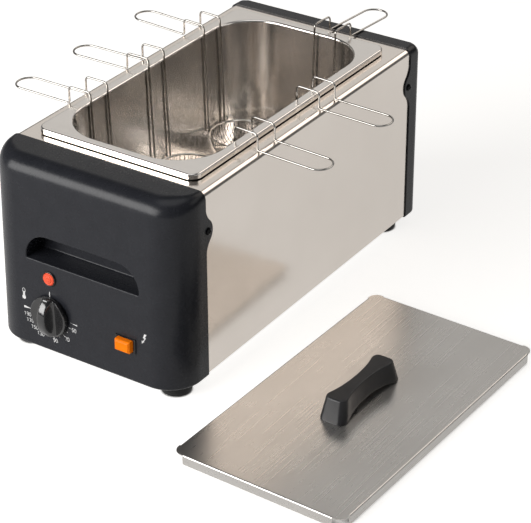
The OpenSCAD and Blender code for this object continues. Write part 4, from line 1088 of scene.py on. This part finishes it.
# Soft panels of the studio: (direction, half angles of the full and of the fading part, strength, tint)
PANELS = [
    ((-0.47, 0.72, 0.50), 9, 22, 0.54, (1.0, 0.975, 0.94)),
    ((0.24, 0.72, 0.66), 7, 24, 1.6, (1.0, 0.92, 0.85)),
    ((-0.40, -0.80, 0.45), 7, 22, 1.2, (1.0, 0.98, 0.96)),
    ((0.0, -0.1, 1.0), 8, 28, 1.2, (1.0, 1.0, 1.0)),
]
# Grey of the sky in reflections, from straight down (0) to straight up (1)
SKY = ((0.0, 0.5), (0.5, 0.12), (0.62, 0.10), (0.78, 0.09), (0.9, 0.09), (1.0, 0.1))
AMBIENT = 0.11


def make_world():
    """White for the camera, the sky with its panels for reflections, and a plain soft light for all else."""
    world = bpy.data.worlds.new("studio")
    bpy.context.scene.world = world
    world.use_nodes = True
    tree = world.node_tree
    tree.nodes.clear()
    place = add_node(tree, "ShaderNodeTexCoord").outputs["Generated"]
    height = add_node(tree, "ShaderNodeSeparateXYZ", {"Vector": place}).outputs["Z"]
    ramp = add_node(tree, "ShaderNodeValToRGB", {"Fac": map_range(tree, height, -1, 1, 0, 1)})
    ramp.color_ramp.interpolation = "B_SPLINE"
    stops = ramp.color_ramp.elements
    for position, _ in SKY[1:-1]:
        stops.new(position)
    for stop, (_, grey) in zip(stops, SKY):
        stop.color = (grey, grey, grey, 1)
    total = ramp.outputs["Color"]
    for direction, full, fade, strength, tint in PANELS:
        inputs = {0: place, 1: Vector(direction).normalized()}
        facing = add_node(tree, "ShaderNodeVectorMath", inputs, operation="DOT_PRODUCT").outputs["Value"]
        start, end = math.cos(math.radians(fade)), math.cos(math.radians(full))
        inputs = {0: map_range(tree, facing, start, end, 0, strength, "SMOOTHSTEP"), 1: tint, 2: total}
        total = add_node(tree, "ShaderNodeVectorMath", inputs, operation="MULTIPLY_ADD").outputs["Vector"]

    def background(inputs):
        return add_node(tree, "ShaderNodeBackground", inputs).outputs["Background"]
    path = add_node(tree, "ShaderNodeLightPath").outputs
    even, sky = background({"Strength": AMBIENT}), background({"Color": total})
    inputs = {"Fac": path["Is Glossy Ray"], 1: even, 2: sky}
    lit = add_node(tree, "ShaderNodeMixShader", inputs).outputs["Shader"]
    inputs = {"Fac": path["Is Camera Ray"], 1: lit, 2: background({"Color": (1, 1, 1, 1)})}
    seen = add_node(tree, "ShaderNodeMixShader", inputs).outputs["Shader"]
    add_node(tree, "ShaderNodeOutputWorld", {"Surface": seen})


def area(name, at, target, size, power, colour):
    lamp = bpy.data.lights.new(name, "AREA")
    lamp.shape = "RECTANGLE"
    lamp.size, lamp.size_y = size
    lamp.energy = power
    lamp.color = colour
    obj = bpy.data.objects.new(name, lamp)
    obj.location = at
    obj.rotation_euler = (Vector(target) - Vector(at)).to_track_quat("-Z", "Y").to_euler()
    bpy.context.scene.collection.objects.link(obj)


make_floor()
make_world()
area("key", (-1.0, -1.9, 0.95), (0, 0, 0.1), (2.4, 1.3), 56, (1.0, 0.99, 0.98))
area("fill", (1.8, 0.6, 1.6), (0.1, 0, 0.1), (1.4, 1.0), 4, (1.0, 0.985, 0.96))
